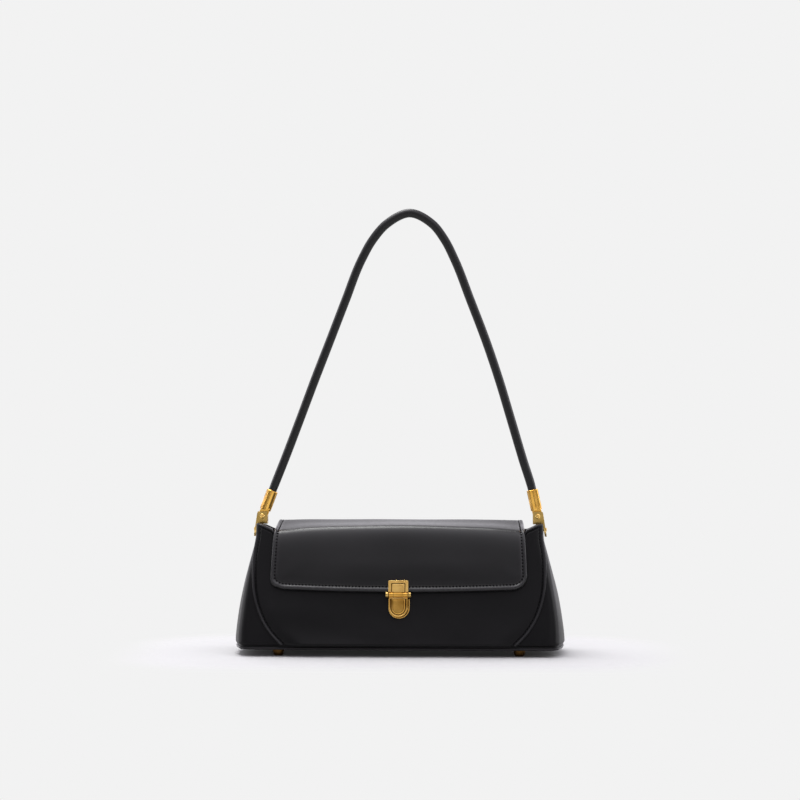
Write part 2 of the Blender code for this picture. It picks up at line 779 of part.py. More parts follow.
def tongue_outline(half_width, head, foot):
    """Tongue outline: square at the head, a half circle at the foot."""
    outline = [(half_width, head), (-half_width, head)]
    return outline + arc((0, foot + half_width), half_width, 180, 360, 16)


def make_hasp():
    half_width = CLASP_WIDTH / 2
    outline = rounded_head(half_width, HASP_SIDE_FOOT, HASP_HEAD, HASP_CORNER)
    hasp = add_object(
        "hasp_plate", prism(outline, HASP_SEAT, HASP_SEAT + HASP_PLATE, HASP_FRAME), BRASS_LOOK
    )
    recess = clasp_block(
        "hasp_recess", HASP_FRAME,
        (HASP_RIM - half_width, HASP_SIDE_FOOT + HASP_SINK, HASP_SEAT + HASP_PLATE - HASP_SINK),
        (half_width - HASP_RIM, HASP_HEAD - HASP_RIM, HASP_SEAT + HASP_PLATE + CUT_OVERRUN),
    )
    combine(hasp, "DIFFERENCE", recess)
    neck = clasp_block(
        "hasp_neck", HASP_FRAME,
        (-HASP_KNUCKLE_HALF, HASP_FOOT, HASP_SEAT),
        (HASP_KNUCKLE_HALF, HASP_SIDE_FOOT + HASP_SINK, HASP_SEAT + HASP_PLATE - HASP_SINK),
    )
    combine(hasp, "UNION", neck)
    knuckle = pin_round(KNUCKLE_RADIUS, -HASP_KNUCKLE_HALF, HASP_KNUCKLE_HALF)
    combine(hasp, "UNION", add_cutter("hasp_knuckle", knuckle))
    combine(hasp, "DIFFERENCE", add_cutter("hasp_bore", pin_round(
        PIN_RADIUS + FIT_GAP, -CLASP_WIDTH, CLASP_WIDTH)))
    for side, across in (("left", -HASP_POST_ACROSS), ("right", HASP_POST_ACROSS)):
        post_place = HASP_FRAME @ Matrix.Translation((across, HASP_POST_UP, 0))
        post = turned([(HASP_POST_RADIUS, FLAP_STAND_OFF - FIT_GAP),
                       (HASP_POST_RADIUS, HASP_SEAT + HASP_SINK)], SMALL_FACETS, post_place)
        combine(hasp, "UNION", add_cutter("hasp_post_" + side, post))
    return hasp


def drill_for_posts(piece):
    for side, across in (("left", -HASP_POST_ACROSS), ("right", HASP_POST_ACROSS)):
        frame = HASP_FRAME @ Matrix.Translation((across, HASP_POST_UP, 0))
        drill = turned([(POST_HOLE, FLAP_STAND_OFF - CUT_OVERRUN), (POST_HOLE, HASP_SEAT)],
                       SMALL_FACETS, frame)
        combine(piece, "DIFFERENCE", add_cutter(piece.name + "_post_hole_" + side, drill))


hasp_plate = make_hasp()
drill_for_posts(flap)
backing_outline = rounded_head(
    BACKING_HALF_WIDTH, HASP_POST_UP - BACKING_HALF_HEIGHT, HASP_POST_UP + BACKING_HALF_HEIGHT,
    HASP_POST_RADIUS,
)
hasp_backing = add_object(
    "hasp_backing",
    prism(backing_outline, FLAP_STAND_OFF, FLAP_STAND_OFF + BACKING_PLATE, HASP_FRAME), BRASS_LOOK
)
drill_for_posts(hasp_backing)
window_reach = BACKING_HALF_HEIGHT + FIT_GAP
combine(flap_lining, "DIFFERENCE", clasp_block(
    "flap_lining_window", HASP_FRAME,
    (-BACKING_HALF_WIDTH - FIT_GAP, HASP_POST_UP - window_reach, 0),
    (BACKING_HALF_WIDTH + FIT_GAP, HASP_POST_UP + window_reach, HASP_SEAT),
))


# Clasp pin: a shank with a round knob on each end
def make_pin():
    knob_start = CLASP_WIDTH / 2 + FIT_GAP
    right_half = [(PIN_RADIUS, knob_start), (PIN_KNOB_RADIUS - PIN_SHOULDER, knob_start)]
    for step in range(1, 4):
        angle = math.pi * step / 4
        right_half.append((
            PIN_KNOB_RADIUS - PIN_SHOULDER * abs(math.cos(angle)),
            knob_start + PIN_KNOB_LENGTH * (1 - math.cos(angle)) / 2,
        ))
    right_half.append((PIN_KNOB_RADIUS - PIN_SHOULDER, knob_start + PIN_KNOB_LENGTH))
    left_half = [(radius, -along) for radius, along in right_half[::-1]]
    return add_object(
        "clasp_pin", turned(left_half + right_half, RING_FACETS, along_x(*PIN_PLACE)), BRASS_LOOK
    )


clasp_pin = make_pin()


# Clasp lever: a tongue with a raised rim and a raised middle, hung on the pin by two knuckles
def step_face(body, face, inset, shift):
    bmesh.ops.inset_region(body, faces=[face], thickness=inset, use_even_offset=True)
    bmesh.ops.translate(body, verts=face.verts, vec=(0, 0, shift))


def make_lever():
    half_width = CLASP_WIDTH / 2
    top = LEVER_BACK + LEVER_THICKNESS
    body = prism(tongue_outline(half_width, -LEVER_SHOULDER_UP, -LEVER_LENGTH), LEVER_BACK, top)
    face = max(body.faces, key=lambda item: item.calc_center_median().z)
    step_face(body, face, LEVER_RIM, 0)
    step_face(body, face, LEVER_STEP_SLOPE, -LEVER_SINK)
    step_face(body, face, LEVER_GROOVE, 0)
    step_face(body, face, LEVER_STEP_SLOPE, LEVER_SINK)
    bmesh.ops.transform(body, matrix=LOCK_FRAME, verts=body.verts)
    lever = add_object("clasp_lever", body, BRASS_LOOK)
    notch_half = HASP_KNUCKLE_HALF + FIT_GAP
    notch = clasp_block(
        "lever_notch", LOCK_FRAME,
        (-notch_half, -KNUCKLE_RADIUS - FIT_GAP, 0), (notch_half, KNUCKLE_RADIUS, CLASP_WIDTH),
    )
    combine(lever, "DIFFERENCE", notch)
    for side, hand in (("left", -1), ("right", 1)):
        ends = sorted((hand * notch_half, hand * half_width))
        knuckle = pin_round(KNUCKLE_RADIUS, *ends)
        combine(lever, "UNION", add_cutter("lever_knuckle_" + side, knuckle))
    combine(lever, "DIFFERENCE", add_cutter("lever_bore", pin_round(
        PIN_RADIUS + FIT_GAP, -CLASP_WIDTH, CLASP_WIDTH)))
    pocket_roof = FIT_GAP + LOCK_PLATE + FIT_GAP + STUD_RISE + FIT_GAP
    stud_place = LOCK_FRAME @ Matrix.Translation((0, -STUD_DOWN, 0))
    pocket = turned([(STUD_POCKET_RADIUS, 0), (STUD_POCKET_RADIUS, pocket_roof)],
                    SMALL_FACETS, stud_place)
    combine(lever, "DIFFERENCE", add_cutter("lever_pocket", pocket))
    return lever


clasp_lever = make_lever()

# Lock plate on the front panel, the stud that the lever snaps over, and their backing
STUD_PLACE = LOCK_FRAME @ Matrix.Translation((0, -STUD_DOWN, 0))
BACKING_TOP = -PANEL_PROUD - BOARD_INSET
BACKING_FOOT = BACKING_TOP - BACKING_PLATE
lock_plate = add_object(
    "lock_plate",
    prism(tongue_outline(CLASP_WIDTH / 2 + LOCK_BORDER, -LOCK_HEAD, -LEVER_LENGTH - LOCK_BORDER),
          FIT_GAP, FIT_GAP + LOCK_PLATE, LOCK_FRAME), BRASS_LOOK
)
stud_seat = FIT_GAP + LOCK_PLATE + FIT_GAP
catch_stud = add_object("catch_stud", turned(
    [(STUD_SHANK_RADIUS, BACKING_FOOT), (STUD_SHANK_RADIUS, stud_seat), (STUD_RADIUS, stud_seat),
     (STUD_RADIUS, stud_seat + STUD_RISE)], SMALL_FACETS, STUD_PLACE), BRASS_LOOK)
lock_backing = add_object(
    "lock_backing",
    prism(rounded_head(BACKING_HALF_WIDTH, -STUD_DOWN - BACKING_HALF_HEIGHT,
                       BACKING_HALF_HEIGHT - STUD_DOWN, HASP_POST_RADIUS),
          BACKING_FOOT, BACKING_TOP, LOCK_FRAME), BRASS_LOOK
)
for piece in (front_panel, lock_plate, lock_backing):
    hole = STUD_SHANK_RADIUS + FIT_GAP
    drill = turned([(hole, BACKING_FOOT - CUT_OVERRUN), (hole, stud_seat)], SMALL_FACETS, STUD_PLACE)
    combine(piece, "DIFFERENCE", add_cutter(piece.name + "_stud_hole", drill))
combine(front_board, "DIFFERENCE", clasp_block(
    "front_board_window", LOCK_FRAME,
    (-BACKING_HALF_WIDTH - FIT_GAP, -STUD_DOWN - window_reach, BACKING_FOOT - CUT_OVERRUN),
    (BACKING_HALF_WIDTH + FIT_GAP, window_reach - STUD_DOWN, 0),
))


# Clips: a clevis over the gusset's ear, its legs riveted through the ear
def upright(outline, low, high):
    """Outline in a front view, spread in depth between two places."""
    return prism(outline, -high, -low, along_y(0, 0, 0))


def make_clip(name, hand):
    outer_face = TOP_HALF_WIDTH + FIT_GAP
    inner_face = TOP_HALF_WIDTH - LEATHER - CLIP_INNER_CLEARANCE
    bridge_foot = SWING_LEVEL + CLIP_BRIDGE_FOOT
    bridge_top = bridge_foot + CLIP_BRIDGE
    leg_foot = SWING_LEVEL - CLIP_HALF_DEPTH - CUT_OVERRUN
    cheek_in = PIVOT_ACROSS - CHEEK_RADIUS
    cheek_out = PIVOT_ACROSS + CHEEK_RADIUS
    leg_out = outer_face + CLIP_LEG
    leg_in = inner_face - CLIP_INNER_LEG
    outline = arc((PIVOT_ACROSS, PIVOT_LEVEL), CHEEK_RADIUS, 180, 0, 12)
    outline += [
        (cheek_out, bridge_top), (leg_out, bridge_top), (leg_out, leg_foot), (outer_face, leg_foot),
        (outer_face, bridge_foot), (inner_face, bridge_foot), (inner_face, leg_foot),
        (leg_in, leg_foot), (leg_in, bridge_foot), (cheek_in, bridge_foot),
    ]
    outline = [(hand * x, z) for x, z in outline]
    clip = add_object(name, upright(outline, -CLIP_HALF_DEPTH, CLIP_HALF_DEPTH), BRASS_LOOK)
    side_outline = arc((0, SWING_LEVEL), CLIP_HALF_DEPTH, 180, 360, 12)
    clip_top = PIVOT_LEVEL + CHEEK_RADIUS + CUT_OVERRUN
    side_outline += [(CLIP_HALF_DEPTH, clip_top), (-CLIP_HALF_DEPTH, clip_top)]
    side_low, side_high = sorted((hand * (cheek_in - CUT_OVERRUN), hand * (leg_out + CUT_OVERRUN)))
    side = prism(side_outline, side_low, side_high)
    turn = Matrix.Rotation(math.pi / 2, 4, "Z") @ Matrix.Rotation(math.pi / 2, 4, "X")
    bmesh.ops.transform(side, matrix=turn, verts=side.verts)
    combine(clip, "INTERSECT", add_cutter(name + "_side", side))
    slot_half = TONGUE_HALF_DEPTH + FIT_GAP
    slot = block((side_low, -slot_half, bridge_top), (side_high, slot_half, clip_top))
    combine(clip, "DIFFERENCE", add_cutter(name + "_slot", slot))
    shank_hole = RIVET_SHANK_RADIUS + FIT_GAP
    reach = CLIP_HALF_DEPTH + CLIP_LEG
    hole = turned([(shank_hole, -reach), (shank_hole, reach)], SMALL_FACETS,
                  along_x(hand * TOP_HALF_WIDTH, 0, SWING_LEVEL))
    combine(clip, "DIFFERENCE", add_cutter(name + "_rivet_hole", hole))
    screw_hole = CLEVIS_SHANK_RADIUS + FIT_GAP
    hole = turned([(screw_hole, -reach), (screw_hole, reach)], SMALL_FACETS,
                  along_y(hand * PIVOT_ACROSS, 0, PIVOT_LEVEL))
    combine(clip, "DIFFERENCE", add_cutter(name + "_screw_hole", hole))
    return clip


def make_rivet(name, hand):
    outer = TOP_HALF_WIDTH + FIT_GAP + CLIP_LEG + FIT_GAP
    inner = TOP_HALF_WIDTH - LEATHER - CLIP_INNER_CLEARANCE - CLIP_INNER_LEG - FIT_GAP
    crown = RIVET_HEAD_RADIUS - RIVET_HEAD
    profile = [
        (crown, inner - RIVET_HEAD), (RIVET_HEAD_RADIUS, inner), (RIVET_SHANK_RADIUS, inner),
        (RIVET_SHANK_RADIUS, outer), (RIVET_HEAD_RADIUS, outer), (crown, outer + RIVET_HEAD),
    ]
    profile = [(radius, hand * along) for radius, along in profile]
    return add_object(
        name, turned(profile, SMALL_FACETS, along_x(0, 0, SWING_LEVEL)), BRASS_LOOK
    )


def make_screw(name, hand):
    face = CLIP_HALF_DEPTH + FIT_GAP
    crown = CLEVIS_HEAD_RADIUS - CLEVIS_HEAD / 2
    profile = [
        (CLEVIS_HEAD_RADIUS, -face - CLEVIS_HEAD), (CLEVIS_HEAD_RADIUS, -face),
        (CLEVIS_SHANK_RADIUS, -face), (CLEVIS_SHANK_RADIUS, face), (CLEVIS_HEAD_RADIUS, face),
        (CLEVIS_HEAD_RADIUS, face + CLEVIS_HEAD / 2), (crown, face + CLEVIS_HEAD),
    ]
    return add_object(
        name, turned(profile, SMALL_FACETS, along_y(hand * PIVOT_ACROSS, 0, PIVOT_LEVEL)), BRASS_LOOK
    )


def make_ferrule(name, hand, lean):
    frame = Matrix.Translation((hand * PIVOT_ACROSS, 0, PIVOT_LEVEL))
    frame = frame @ Matrix.Rotation(-hand * lean, 4, "Y")
    bore = STRAP_RADIUS + FIT_GAP
    ferrule = add_object(name, turned([
        (FERRULE_NECK_RADIUS, FERRULE_FOOT), (FERRULE_RADIUS, FERRULE_FOOT + FERRULE_NECK_RISE),
        (FERRULE_RADIUS, FERRULE_TOP), (bore, FERRULE_TOP), (bore, FERRULE_BORE_FOOT),
    ], RING_FACETS, frame), BRASS_LOOK)
    outline = [(TONGUE_HALF_WIDTH, FERRULE_FOOT + FERRULE_NECK_RISE),
               (-TONGUE_HALF_WIDTH, FERRULE_FOOT + FERRULE_NECK_RISE)]
    outline += arc((0, 0), TONGUE_HALF_WIDTH, 180, 360, 12)
    tongue_frame = frame @ Matrix.Rotation(math.pi / 2, 4, "X")
    tongue = prism(outline, -TONGUE_HALF_DEPTH, TONGUE_HALF_DEPTH, tongue_frame)
    combine(ferrule, "UNION", add_cutter(name + "_tongue", tongue))
    screw_hole = CLEVIS_SHANK_RADIUS + FIT_GAP
    hole = turned([(screw_hole, -CLIP_HALF_DEPTH), (screw_hole, CLIP_HALF_DEPTH)], SMALL_FACETS,
                  along_y(hand * PIVOT_ACROSS, 0, PIVOT_LEVEL))
    combine(ferrule, "DIFFERENCE", add_cutter(name + "_hole", hole))
    return ferrule


def strap_route():
    """Centre line in the front view, straight inside each ferrule and smooth between."""
    stops = []
    for hand, lean in ((-1, LEFT_LEAN), (1, RIGHT_LEAN)):
        pivot = Vector((hand * PIVOT_ACROSS, PIVOT_LEVEL))
        along = Vector((-hand * math.sin(lean), math.cos(lean)))
        foot = FERRULE_BORE_FOOT + FIT_GAP
        inside = [pivot + along * mix(foot, FERRULE_TOP, step / 2) for step in range(3)]
        stops.append(inside)
    middle = [
        Vector((PIVOT_ACROSS * across, PIVOT_LEVEL + STRAP_RISE * rise))
        for across, rise in STRAP_ROUTE_SHARES
    ]
    points = stops[0] + middle + stops[1][::-1]
    chords = [(b - a).length for a, b in zip(points, points[1:])]
    slopes = [(points[1] - points[0]) / chords[0]]
    for i in range(1, len(points) - 1):
        before = (points[i] - points[i - 1]) / chords[i - 1]
        after = (points[i + 1] - points[i]) / chords[i]
        slopes.append(before.lerp(after, chords[i - 1] / (chords[i - 1] + chords[i])))
    slopes.append((points[-1] - points[-2]) / chords[-1])
    route = [points[0]]
    for i, chord in enumerate(chords):
        for step in range(1, STRAP_STEPS + 1):
            t = step / STRAP_STEPS
            route.append(
                points[i] * (2 * t ** 3 - 3 * t ** 2 + 1)
                + slopes[i] * chord * (t ** 3 - 2 * t ** 2 + t)
                + points[i + 1] * (3 * t ** 2 - 2 * t ** 3)
                + slopes[i + 1] * chord * (t ** 3 - t ** 2)
            )
    return route


def strap_rings(body, route, radius):
    rings = []
    for i, place in enumerate(route):
        before = route[max(i - 1, 0)]
        after = route[min(i + 1, len(route) - 1)]
        along = (after - before).normalized()
        ring = []
        for step in range(STRAP_FACETS):
            angle = 2 * math.pi * step / STRAP_FACETS
            side = radius * math.cos(angle)
            ring.append(body.verts.new((
                place.x - along.y * side, radius * math.sin(angle), place.y + along.x * side,
            )))
        rings.append(ring)
    for lower, upper in zip(rings, rings[1:]):
        for step in range(STRAP_FACETS):
            after = (step + 1) % STRAP_FACETS
            body.faces.new((lower[step], lower[after], upper[after], upper[step]))
    return rings


def make_strap_core(route):
    body = bmesh.new()
    rings = strap_rings(body, route, STRAP_RADIUS - STRAP_WALL - FIT_GAP)
    body.faces.new(rings[0])
    body.faces.new(rings[-1])
    return add_object("strap_core", body, FOAM_LOOK)


def make_strap_cover(route):
    body = bmesh.new()
    outer = strap_rings(body, route, STRAP_RADIUS)
    inner = strap_rings(body, route, STRAP_RADIUS - STRAP_WALL)
    for end in (0, -1):
        for step in range(STRAP_FACETS):
            after = (step + 1) % STRAP_FACETS
            body.faces.new((outer[end][step], outer[end][after], inner[end][after], inner[end][step]))
    return add_object("strap_cover", body, LEATHER_LOOK)


route = strap_route()
strap_core = make_strap_core(route)
strap_cover = make_strap_cover(route)
left_clip = make_clip("left_clip", -1)
right_clip = make_clip("right_clip", 1)
left_clip_rivet = make_rivet("left_clip_rivet", -1)
right_clip_rivet = make_rivet("right_clip_rivet", 1)
left_clevis_screw = make_screw("left_clevis_screw", -1)
right_clevis_screw = make_screw("right_clevis_screw", 1)
left_ferrule = make_ferrule("left_ferrule", -1, LEFT_LEAN)
right_ferrule = make_ferrule("right_ferrule", 1, RIGHT_LEAN)


# Carriers: an empty on each joint's axis, with the pieces that move on it
def carry(name, place, pieces, carrier=None):
    empty = bpy.data.objects.new(name, None)
    bpy.context.scene.collection.objects.link(empty)
    origin = Vector(place)
    empty.location = origin
    if carrier:
        empty.parent = carrier
        empty.location = origin - carrier.location
    for piece in pieces:
        piece.data.transform(Matrix.Translation(-origin))
        piece.parent = empty
    return empty


flap_hinge = carry("flap_hinge", (0, HINGE_DEPTH, HINGE_LEVEL),
                   (flap, flap_lining, hasp_plate, hasp_backing, clasp_pin))
carry("lever_hinge", PIN_PLACE, (clasp_lever,), flap_hinge)
strap_swing = carry("strap_swing", (0, 0, SWING_LEVEL), (
    strap_cover, strap_core, left_clip, right_clip, left_clip_rivet, right_clip_rivet,
    left_clevis_screw, right_clevis_screw,
))
carry("left_ferrule_pivot", (-PIVOT_ACROSS, 0, PIVOT_LEVEL), (left_ferrule,), strap_swing)
carry("right_ferrule_pivot", (PIVOT_ACROSS, 0, PIVOT_LEVEL), (right_ferrule,), strap_swing)
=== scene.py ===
import math
from bisect import bisect_right
from functools import lru_cache

import bmesh
import bpy
from mathutils import Matrix, Vector


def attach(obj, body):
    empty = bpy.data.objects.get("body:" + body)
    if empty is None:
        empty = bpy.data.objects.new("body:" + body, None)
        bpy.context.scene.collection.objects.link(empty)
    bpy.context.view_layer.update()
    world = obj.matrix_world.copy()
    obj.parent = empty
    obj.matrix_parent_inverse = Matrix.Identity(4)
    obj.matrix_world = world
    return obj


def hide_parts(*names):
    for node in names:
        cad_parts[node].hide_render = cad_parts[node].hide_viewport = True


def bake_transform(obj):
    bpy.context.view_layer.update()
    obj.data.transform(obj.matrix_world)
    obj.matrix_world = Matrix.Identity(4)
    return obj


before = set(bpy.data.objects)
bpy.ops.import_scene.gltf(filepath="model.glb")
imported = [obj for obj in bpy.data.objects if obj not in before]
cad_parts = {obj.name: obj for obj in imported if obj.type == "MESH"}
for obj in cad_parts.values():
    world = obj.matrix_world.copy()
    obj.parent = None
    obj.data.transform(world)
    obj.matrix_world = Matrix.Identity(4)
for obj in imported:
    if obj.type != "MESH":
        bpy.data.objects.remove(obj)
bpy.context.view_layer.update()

print("frame loaded:", len(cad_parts), "nodes")


def mix(low, high, share):
    return low + (high - low) * share


def smooth(value):
    value = min(max(value, 0.0), 1.0)
    return value * value * (3 - 2 * value)


def evenly(low, high, count):
    # even places from low to high, both ends among them
    return [mix(low, high, k / count) for k in range(count + 1)]


def cubic(start, startRun, end, endRun, t):
    # smooth way from start to end that leaves and arrives with the given runs
    return (start * (2 * t ** 3 - 3 * t ** 2 + 1) + startRun * (t ** 3 - 2 * t ** 2 + t)
            + end * (3 * t ** 2 - 2 * t ** 3) + endRun * (t ** 3 - t ** 2))


def curveThrough(table, place):
    # smooth value of a table of (place, value) pairs
    place = min(max(place, table[0][0]), table[-1][0])
    spot = 0
    while place > table[spot + 1][0]:
        spot += 1

    def slope(index):
        before, after = table[max(index - 1, 0)], table[min(index + 1, len(table) - 1)]
        return (after[1] - before[1]) / (after[0] - before[0])

    (startX, startY), (endX, endY) = table[spot], table[spot + 1]
    span = endX - startX
    return cubic(startY, slope(spot) * span, endY, slope(spot + 1) * span, (place - startX) / span)


def roundOver(distance, radius, depth):
    # how far a rounded edge falls away at a distance from it
    if distance >= radius:
        return 0.0
    return depth * (1 - math.sqrt(max(1 - (1 - distance / radius) ** 2, 0)))


def bell(distance, centre, width):
    return math.exp(-((distance - centre) / width) ** 2)


# Camera level with the middle of the strap, a little to the right of the bag's own front
view = {"turn": math.radians(2.3), "distance": 1.9006, "height": 0.2225, "lens": 96.75, "sensor": 36}


def buildCamera():
    turn, distance = view["turn"], view["distance"]
    place = (distance * math.sin(turn), -distance * math.cos(turn), view["height"])
    bpy.ops.object.camera_add(location=place, rotation=(math.pi / 2, 0, turn))
    camera = bpy.context.object
    camera.data.lens = view["lens"]
    camera.data.sensor_width = view["sensor"]
    bpy.context.scene.camera = camera


# Nodes: a node with its settings and the values or links of its inputs
def addNode(tree, kind, inputs=None, **settings):
    node = tree.nodes.new(kind)
    for name, value in settings.items():
        setattr(node, name, value)
    for name, value in (inputs or {}).items():
        if isinstance(value, bpy.types.NodeSocket):
            tree.links.new(value, node.inputs[name])
        else:
            node.inputs[name].default_value = value
    return node


def addMath(tree, operation, first, second=0.0, third=0.0):
    node = addNode(tree, "ShaderNodeMath", {0: first, 1: second, 2: third}, operation=operation)
    return node.outputs[0]


def addRange(tree, value, low, high, newLow, newHigh, soft=False):
    node = addNode(tree, "ShaderNodeMapRange", {
        "Value": value, "From Min": low, "From Max": high, "To Min": newLow, "To Max": newHigh},
        interpolation_type="SMOOTHSTEP" if soft else "LINEAR")
    return node.outputs[0]


def addMix(tree, share, first, second):
    node = addNode(tree, "ShaderNodeMix", {0: share, 6: first, 7: second}, data_type="RGBA")
    return node.outputs[2]


def addNoise(tree, vector, scale, detail, **more):
    inputs = {"Vector": vector, "Scale": scale, "Detail": detail, **more}
    return addNode(tree, "ShaderNodeTexNoise", inputs).outputs["Fac"]


def addVector(tree, operation, inputs, output=0):
    return addNode(tree, "ShaderNodeVectorMath", inputs, operation=operation).outputs[output]


def objectPlace(tree):
    return addNode(tree, "ShaderNodeTexCoord").outputs["Object"]


def addRamp(tree, value, stops):
    # stops run from place 0 to place 1
    node = addNode(tree, "ShaderNodeValToRGB", {0: value})
    ramp = node.color_ramp
    ramp.interpolation = "EASE"
    for place, _ in stops[1:-1]:
        ramp.elements.new(place)
    for element, (_, level) in zip(ramp.elements, stops):
        element.color = (level, level, level, 1)
    return node.outputs[0]


def newGroup(name, numbers, results):
    # a group that takes a vector and the numbers given, and gives a number for each result
    group = bpy.data.node_groups.new(name, "ShaderNodeTree")
    group.interface.new_socket("Vector", in_out="INPUT", socket_type="NodeSocketVector")
    for label, value in numbers.items():
        socket = group.interface.new_socket(label, in_out="INPUT", socket_type="NodeSocketFloat")
        socket.default_value = value
    for label in results:
        group.interface.new_socket(label, in_out="OUTPUT", socket_type="NodeSocketFloat")
    entry = group.nodes.new("NodeGroupInput")
    leave = group.nodes.new("NodeGroupOutput")
    return group, entry.outputs, leave.inputs


# Room: pale floor, a world that brightens with height in front of the bag, and a pale wall behind it;
# seen from the bag the front is darker on the left and brighter on the right, as in a studio
room = {
    "pale": (0.888, 0.888, 0.888, 1), "floorSize": 60, "floorColour": (0.46, 0.46, 0.46, 1),
    "shadowHalf": (0.150, 0.046), "fade": (0.045, 0.110), "tint": (1.0, 0.975, 1.04, 1),
    "bounce": 0.014, "frontRise": (2.5, 2.2), "wallRise": (0.25, 0.75, 1.58, 0.65),
    "sides": [(0, 0.30), (0.22, 0.05), (0.40, 0.34), (0.51, 0.13), (0.66, 0.25), (0.80, 0.80), (0.93, 0.15),
              (1, 0.35)],
}
lamps = {
    "overhead": {"place": (-0.40, 0.44, 1.90), "aim": (0, 0, 0.10), "size": (1.20, 0.90), "power": 34.0},
    "leftStrip": {"place": (-1.35, 0.25, 0.55), "aim": (0, 0, 0.08), "size": (0.45, 0.90), "power": 3.0},
    "rightStrip": {"place": (1.30, 0.10, 0.50), "aim": (0, 0, 0.08), "size": (0.45, 0.80), "power": 3.2},
}


def buildWorld():
    world = bpy.data.worlds.new("pale room")
    bpy.context.scene.world = world
    world.use_nodes = True
    tree = world.node_tree
    tree.nodes.clear()
    rays = addNode(tree, "ShaderNodeLightPath").outputs
    heading = addNode(tree, "ShaderNodeTexCoord").outputs["Generated"]
    axes = addNode(tree, "ShaderNodeSeparateXYZ", {0: heading}).outputs
    behind = addRange(tree, axes["Y"], -0.15, 0.15, 0.0, 1.0)
    rise, power = room["frontRise"]
    height = addMath(tree, "POWER", addMath(tree, "MAXIMUM", axes["Z"], 0.0), power)
    sides = addRamp(tree, addRange(tree, axes["X"], -1.0, 1.0, 0.0, 1.0), room["sides"])
    front = addMath(tree, "MULTIPLY_ADD", height, rise, sides)
    wall = addRange(tree, axes["Z"], *room["wallRise"], soft=True)
    level = addNode(tree, "ShaderNodeMix", {0: behind, 2: front, 3: wall}).outputs[0]
    seen = addNode(tree, "ShaderNodeBackground", {"Color": room["pale"], "Strength": 1.0})
    light = addNode(tree, "ShaderNodeBackground", {"Color": room["tint"], "Strength": level})
    choice = addNode(tree, "ShaderNodeMixShader", {
        0: rays["Is Camera Ray"], 1: light.outputs[0], 2: seen.outputs[0]})
    addNode(tree, "ShaderNodeOutputWorld", {"Surface": choice.outputs[0]})


def buildFloor():
    bpy.ops.mesh.primitive_plane_add(size=room["floorSize"], location=(0, 0, -0.0002))
    floor = bpy.context.object
    floor.name = "floor"
    material = bpy.data.materials.new("pale floor")
    material.use_nodes = True
    tree = material.node_tree
    tree.nodes.clear()
    rays = addNode(tree, "ShaderNodeLightPath").outputs
    # distance from the bag's own footprint, where the floor is lit plainly and keeps the shadow
    flat = addVector(tree, "ABSOLUTE", {0: objectPlace(tree)})
    beyond = addVector(tree, "SUBTRACT", {0: flat, 1: (*room["shadowHalf"], 1)})
    outside = addVector(tree, "MAXIMUM", {0: beyond, 1: (0, 0, 0)})
    reach = addVector(tree, "LENGTH", {0: outside}, "Value")
    far = addRange(tree, reach, *room["fade"], 0.0, 1.0, soft=True)
    shiny = addMath(tree, "MAXIMUM", rays["Is Glossy Ray"], rays["Is Transmission Ray"])
    seen = addMath(tree, "MAXIMUM", rays["Is Camera Ray"], shiny)
    share = addMath(tree, "MULTIPLY", seen, far)
    lit = addNode(tree, "ShaderNodeBsdfDiffuse", {"Color": room["floorColour"]})
    bounce = addNode(tree, "ShaderNodeEmission", {"Color": room["pale"], "Strength": room["bounce"]})
    near = addNode(tree, "ShaderNodeAddShader", {0: lit.outputs[0], 1: bounce.outputs[0]})
    plain = addNode(tree, "ShaderNodeEmission", {"Color": room["pale"], "Strength": 1.0})
    choice = addNode(tree, "ShaderNodeMixShader", {0: share, 1: near.outputs[0], 2: plain.outputs[0]})
    addNode(tree, "ShaderNodeOutputMaterial", {"Surface": choice.outputs[0]})
    floor.data.materials.append(material)


def buildLamps():
    for name, lamp in lamps.items():
        bpy.ops.object.light_add(type="AREA", location=lamp["place"])
        light = bpy.context.object
        light.name = name
        light.data.shape = "RECTANGLE"
        light.data.size, light.data.size_y = lamp["size"]
        light.data.energy = lamp["power"]
        aim = Vector(lamp["aim"]) - Vector(lamp["place"])
        light.rotation_euler = aim.to_track_quat("-Z", "Y").to_euler()


buildCamera()
buildWorld()
buildFloor()
buildLamps()
bpy.context.scene.view_settings.view_transform = "Standard"
print("camera, floor and lamps placed")


# Leather grain: fine pores and creases, and a slow change of tone
def makeGrainGroup():
    group, given, result = newGroup("leather grain", {
        "Pore Scale": 1500.0, "Crease Scale": 260.0, "Cloud Scale": 16.0}, ["Height", "Tone", "Cloud"])
    cells = addNode(group, "ShaderNodeTexVoronoi", {
        "Vector": given["Vector"], "Scale": given["Pore Scale"]}, feature="SMOOTH_F1")
    bent = addNoise(group, given["Vector"], given["Crease Scale"], 4.0, Roughness=0.6, Distortion=0.8)
    pores = addRange(group, cells.outputs["Distance"], 0.0, 0.7, 0.0, 1.0)
    height = addMath(group, "MULTIPLY_ADD", pores, 0.35, addMath(group, "MULTIPLY", bent, 0.65))
    group.links.new(height, result["Height"])
    group.links.new(bent, result["Tone"])
    group.links.new(addNoise(group, given["Vector"], given["Cloud Scale"], 3.0), result["Cloud"])
    return group


# Wear and painted highlight: where a mesh says that it is an edge, broken up by a noise
def makeWearAndHighlightGroup():
    group, given, result = newGroup("rubbed edge and painted highlight", {
        "Edge": 0.0, "Noise Scale": 300.0, "Amount": 1.0}, ["Mask", "Blotch"])
    noise = addNoise(group, given["Vector"], given["Noise Scale"], 4.0)
    rough = addRange(group, noise, 0.30, 0.65, 0.75, 1.0)
    mask = addMath(group, "MULTIPLY", addMath(group, "MULTIPLY", given["Edge"], rough), given["Amount"])
    limited = addNode(group, "ShaderNodeClamp", {0: mask})
    group.links.new(limited.outputs[0], result["Mask"])
    group.links.new(noise, result["Blotch"])
    return group


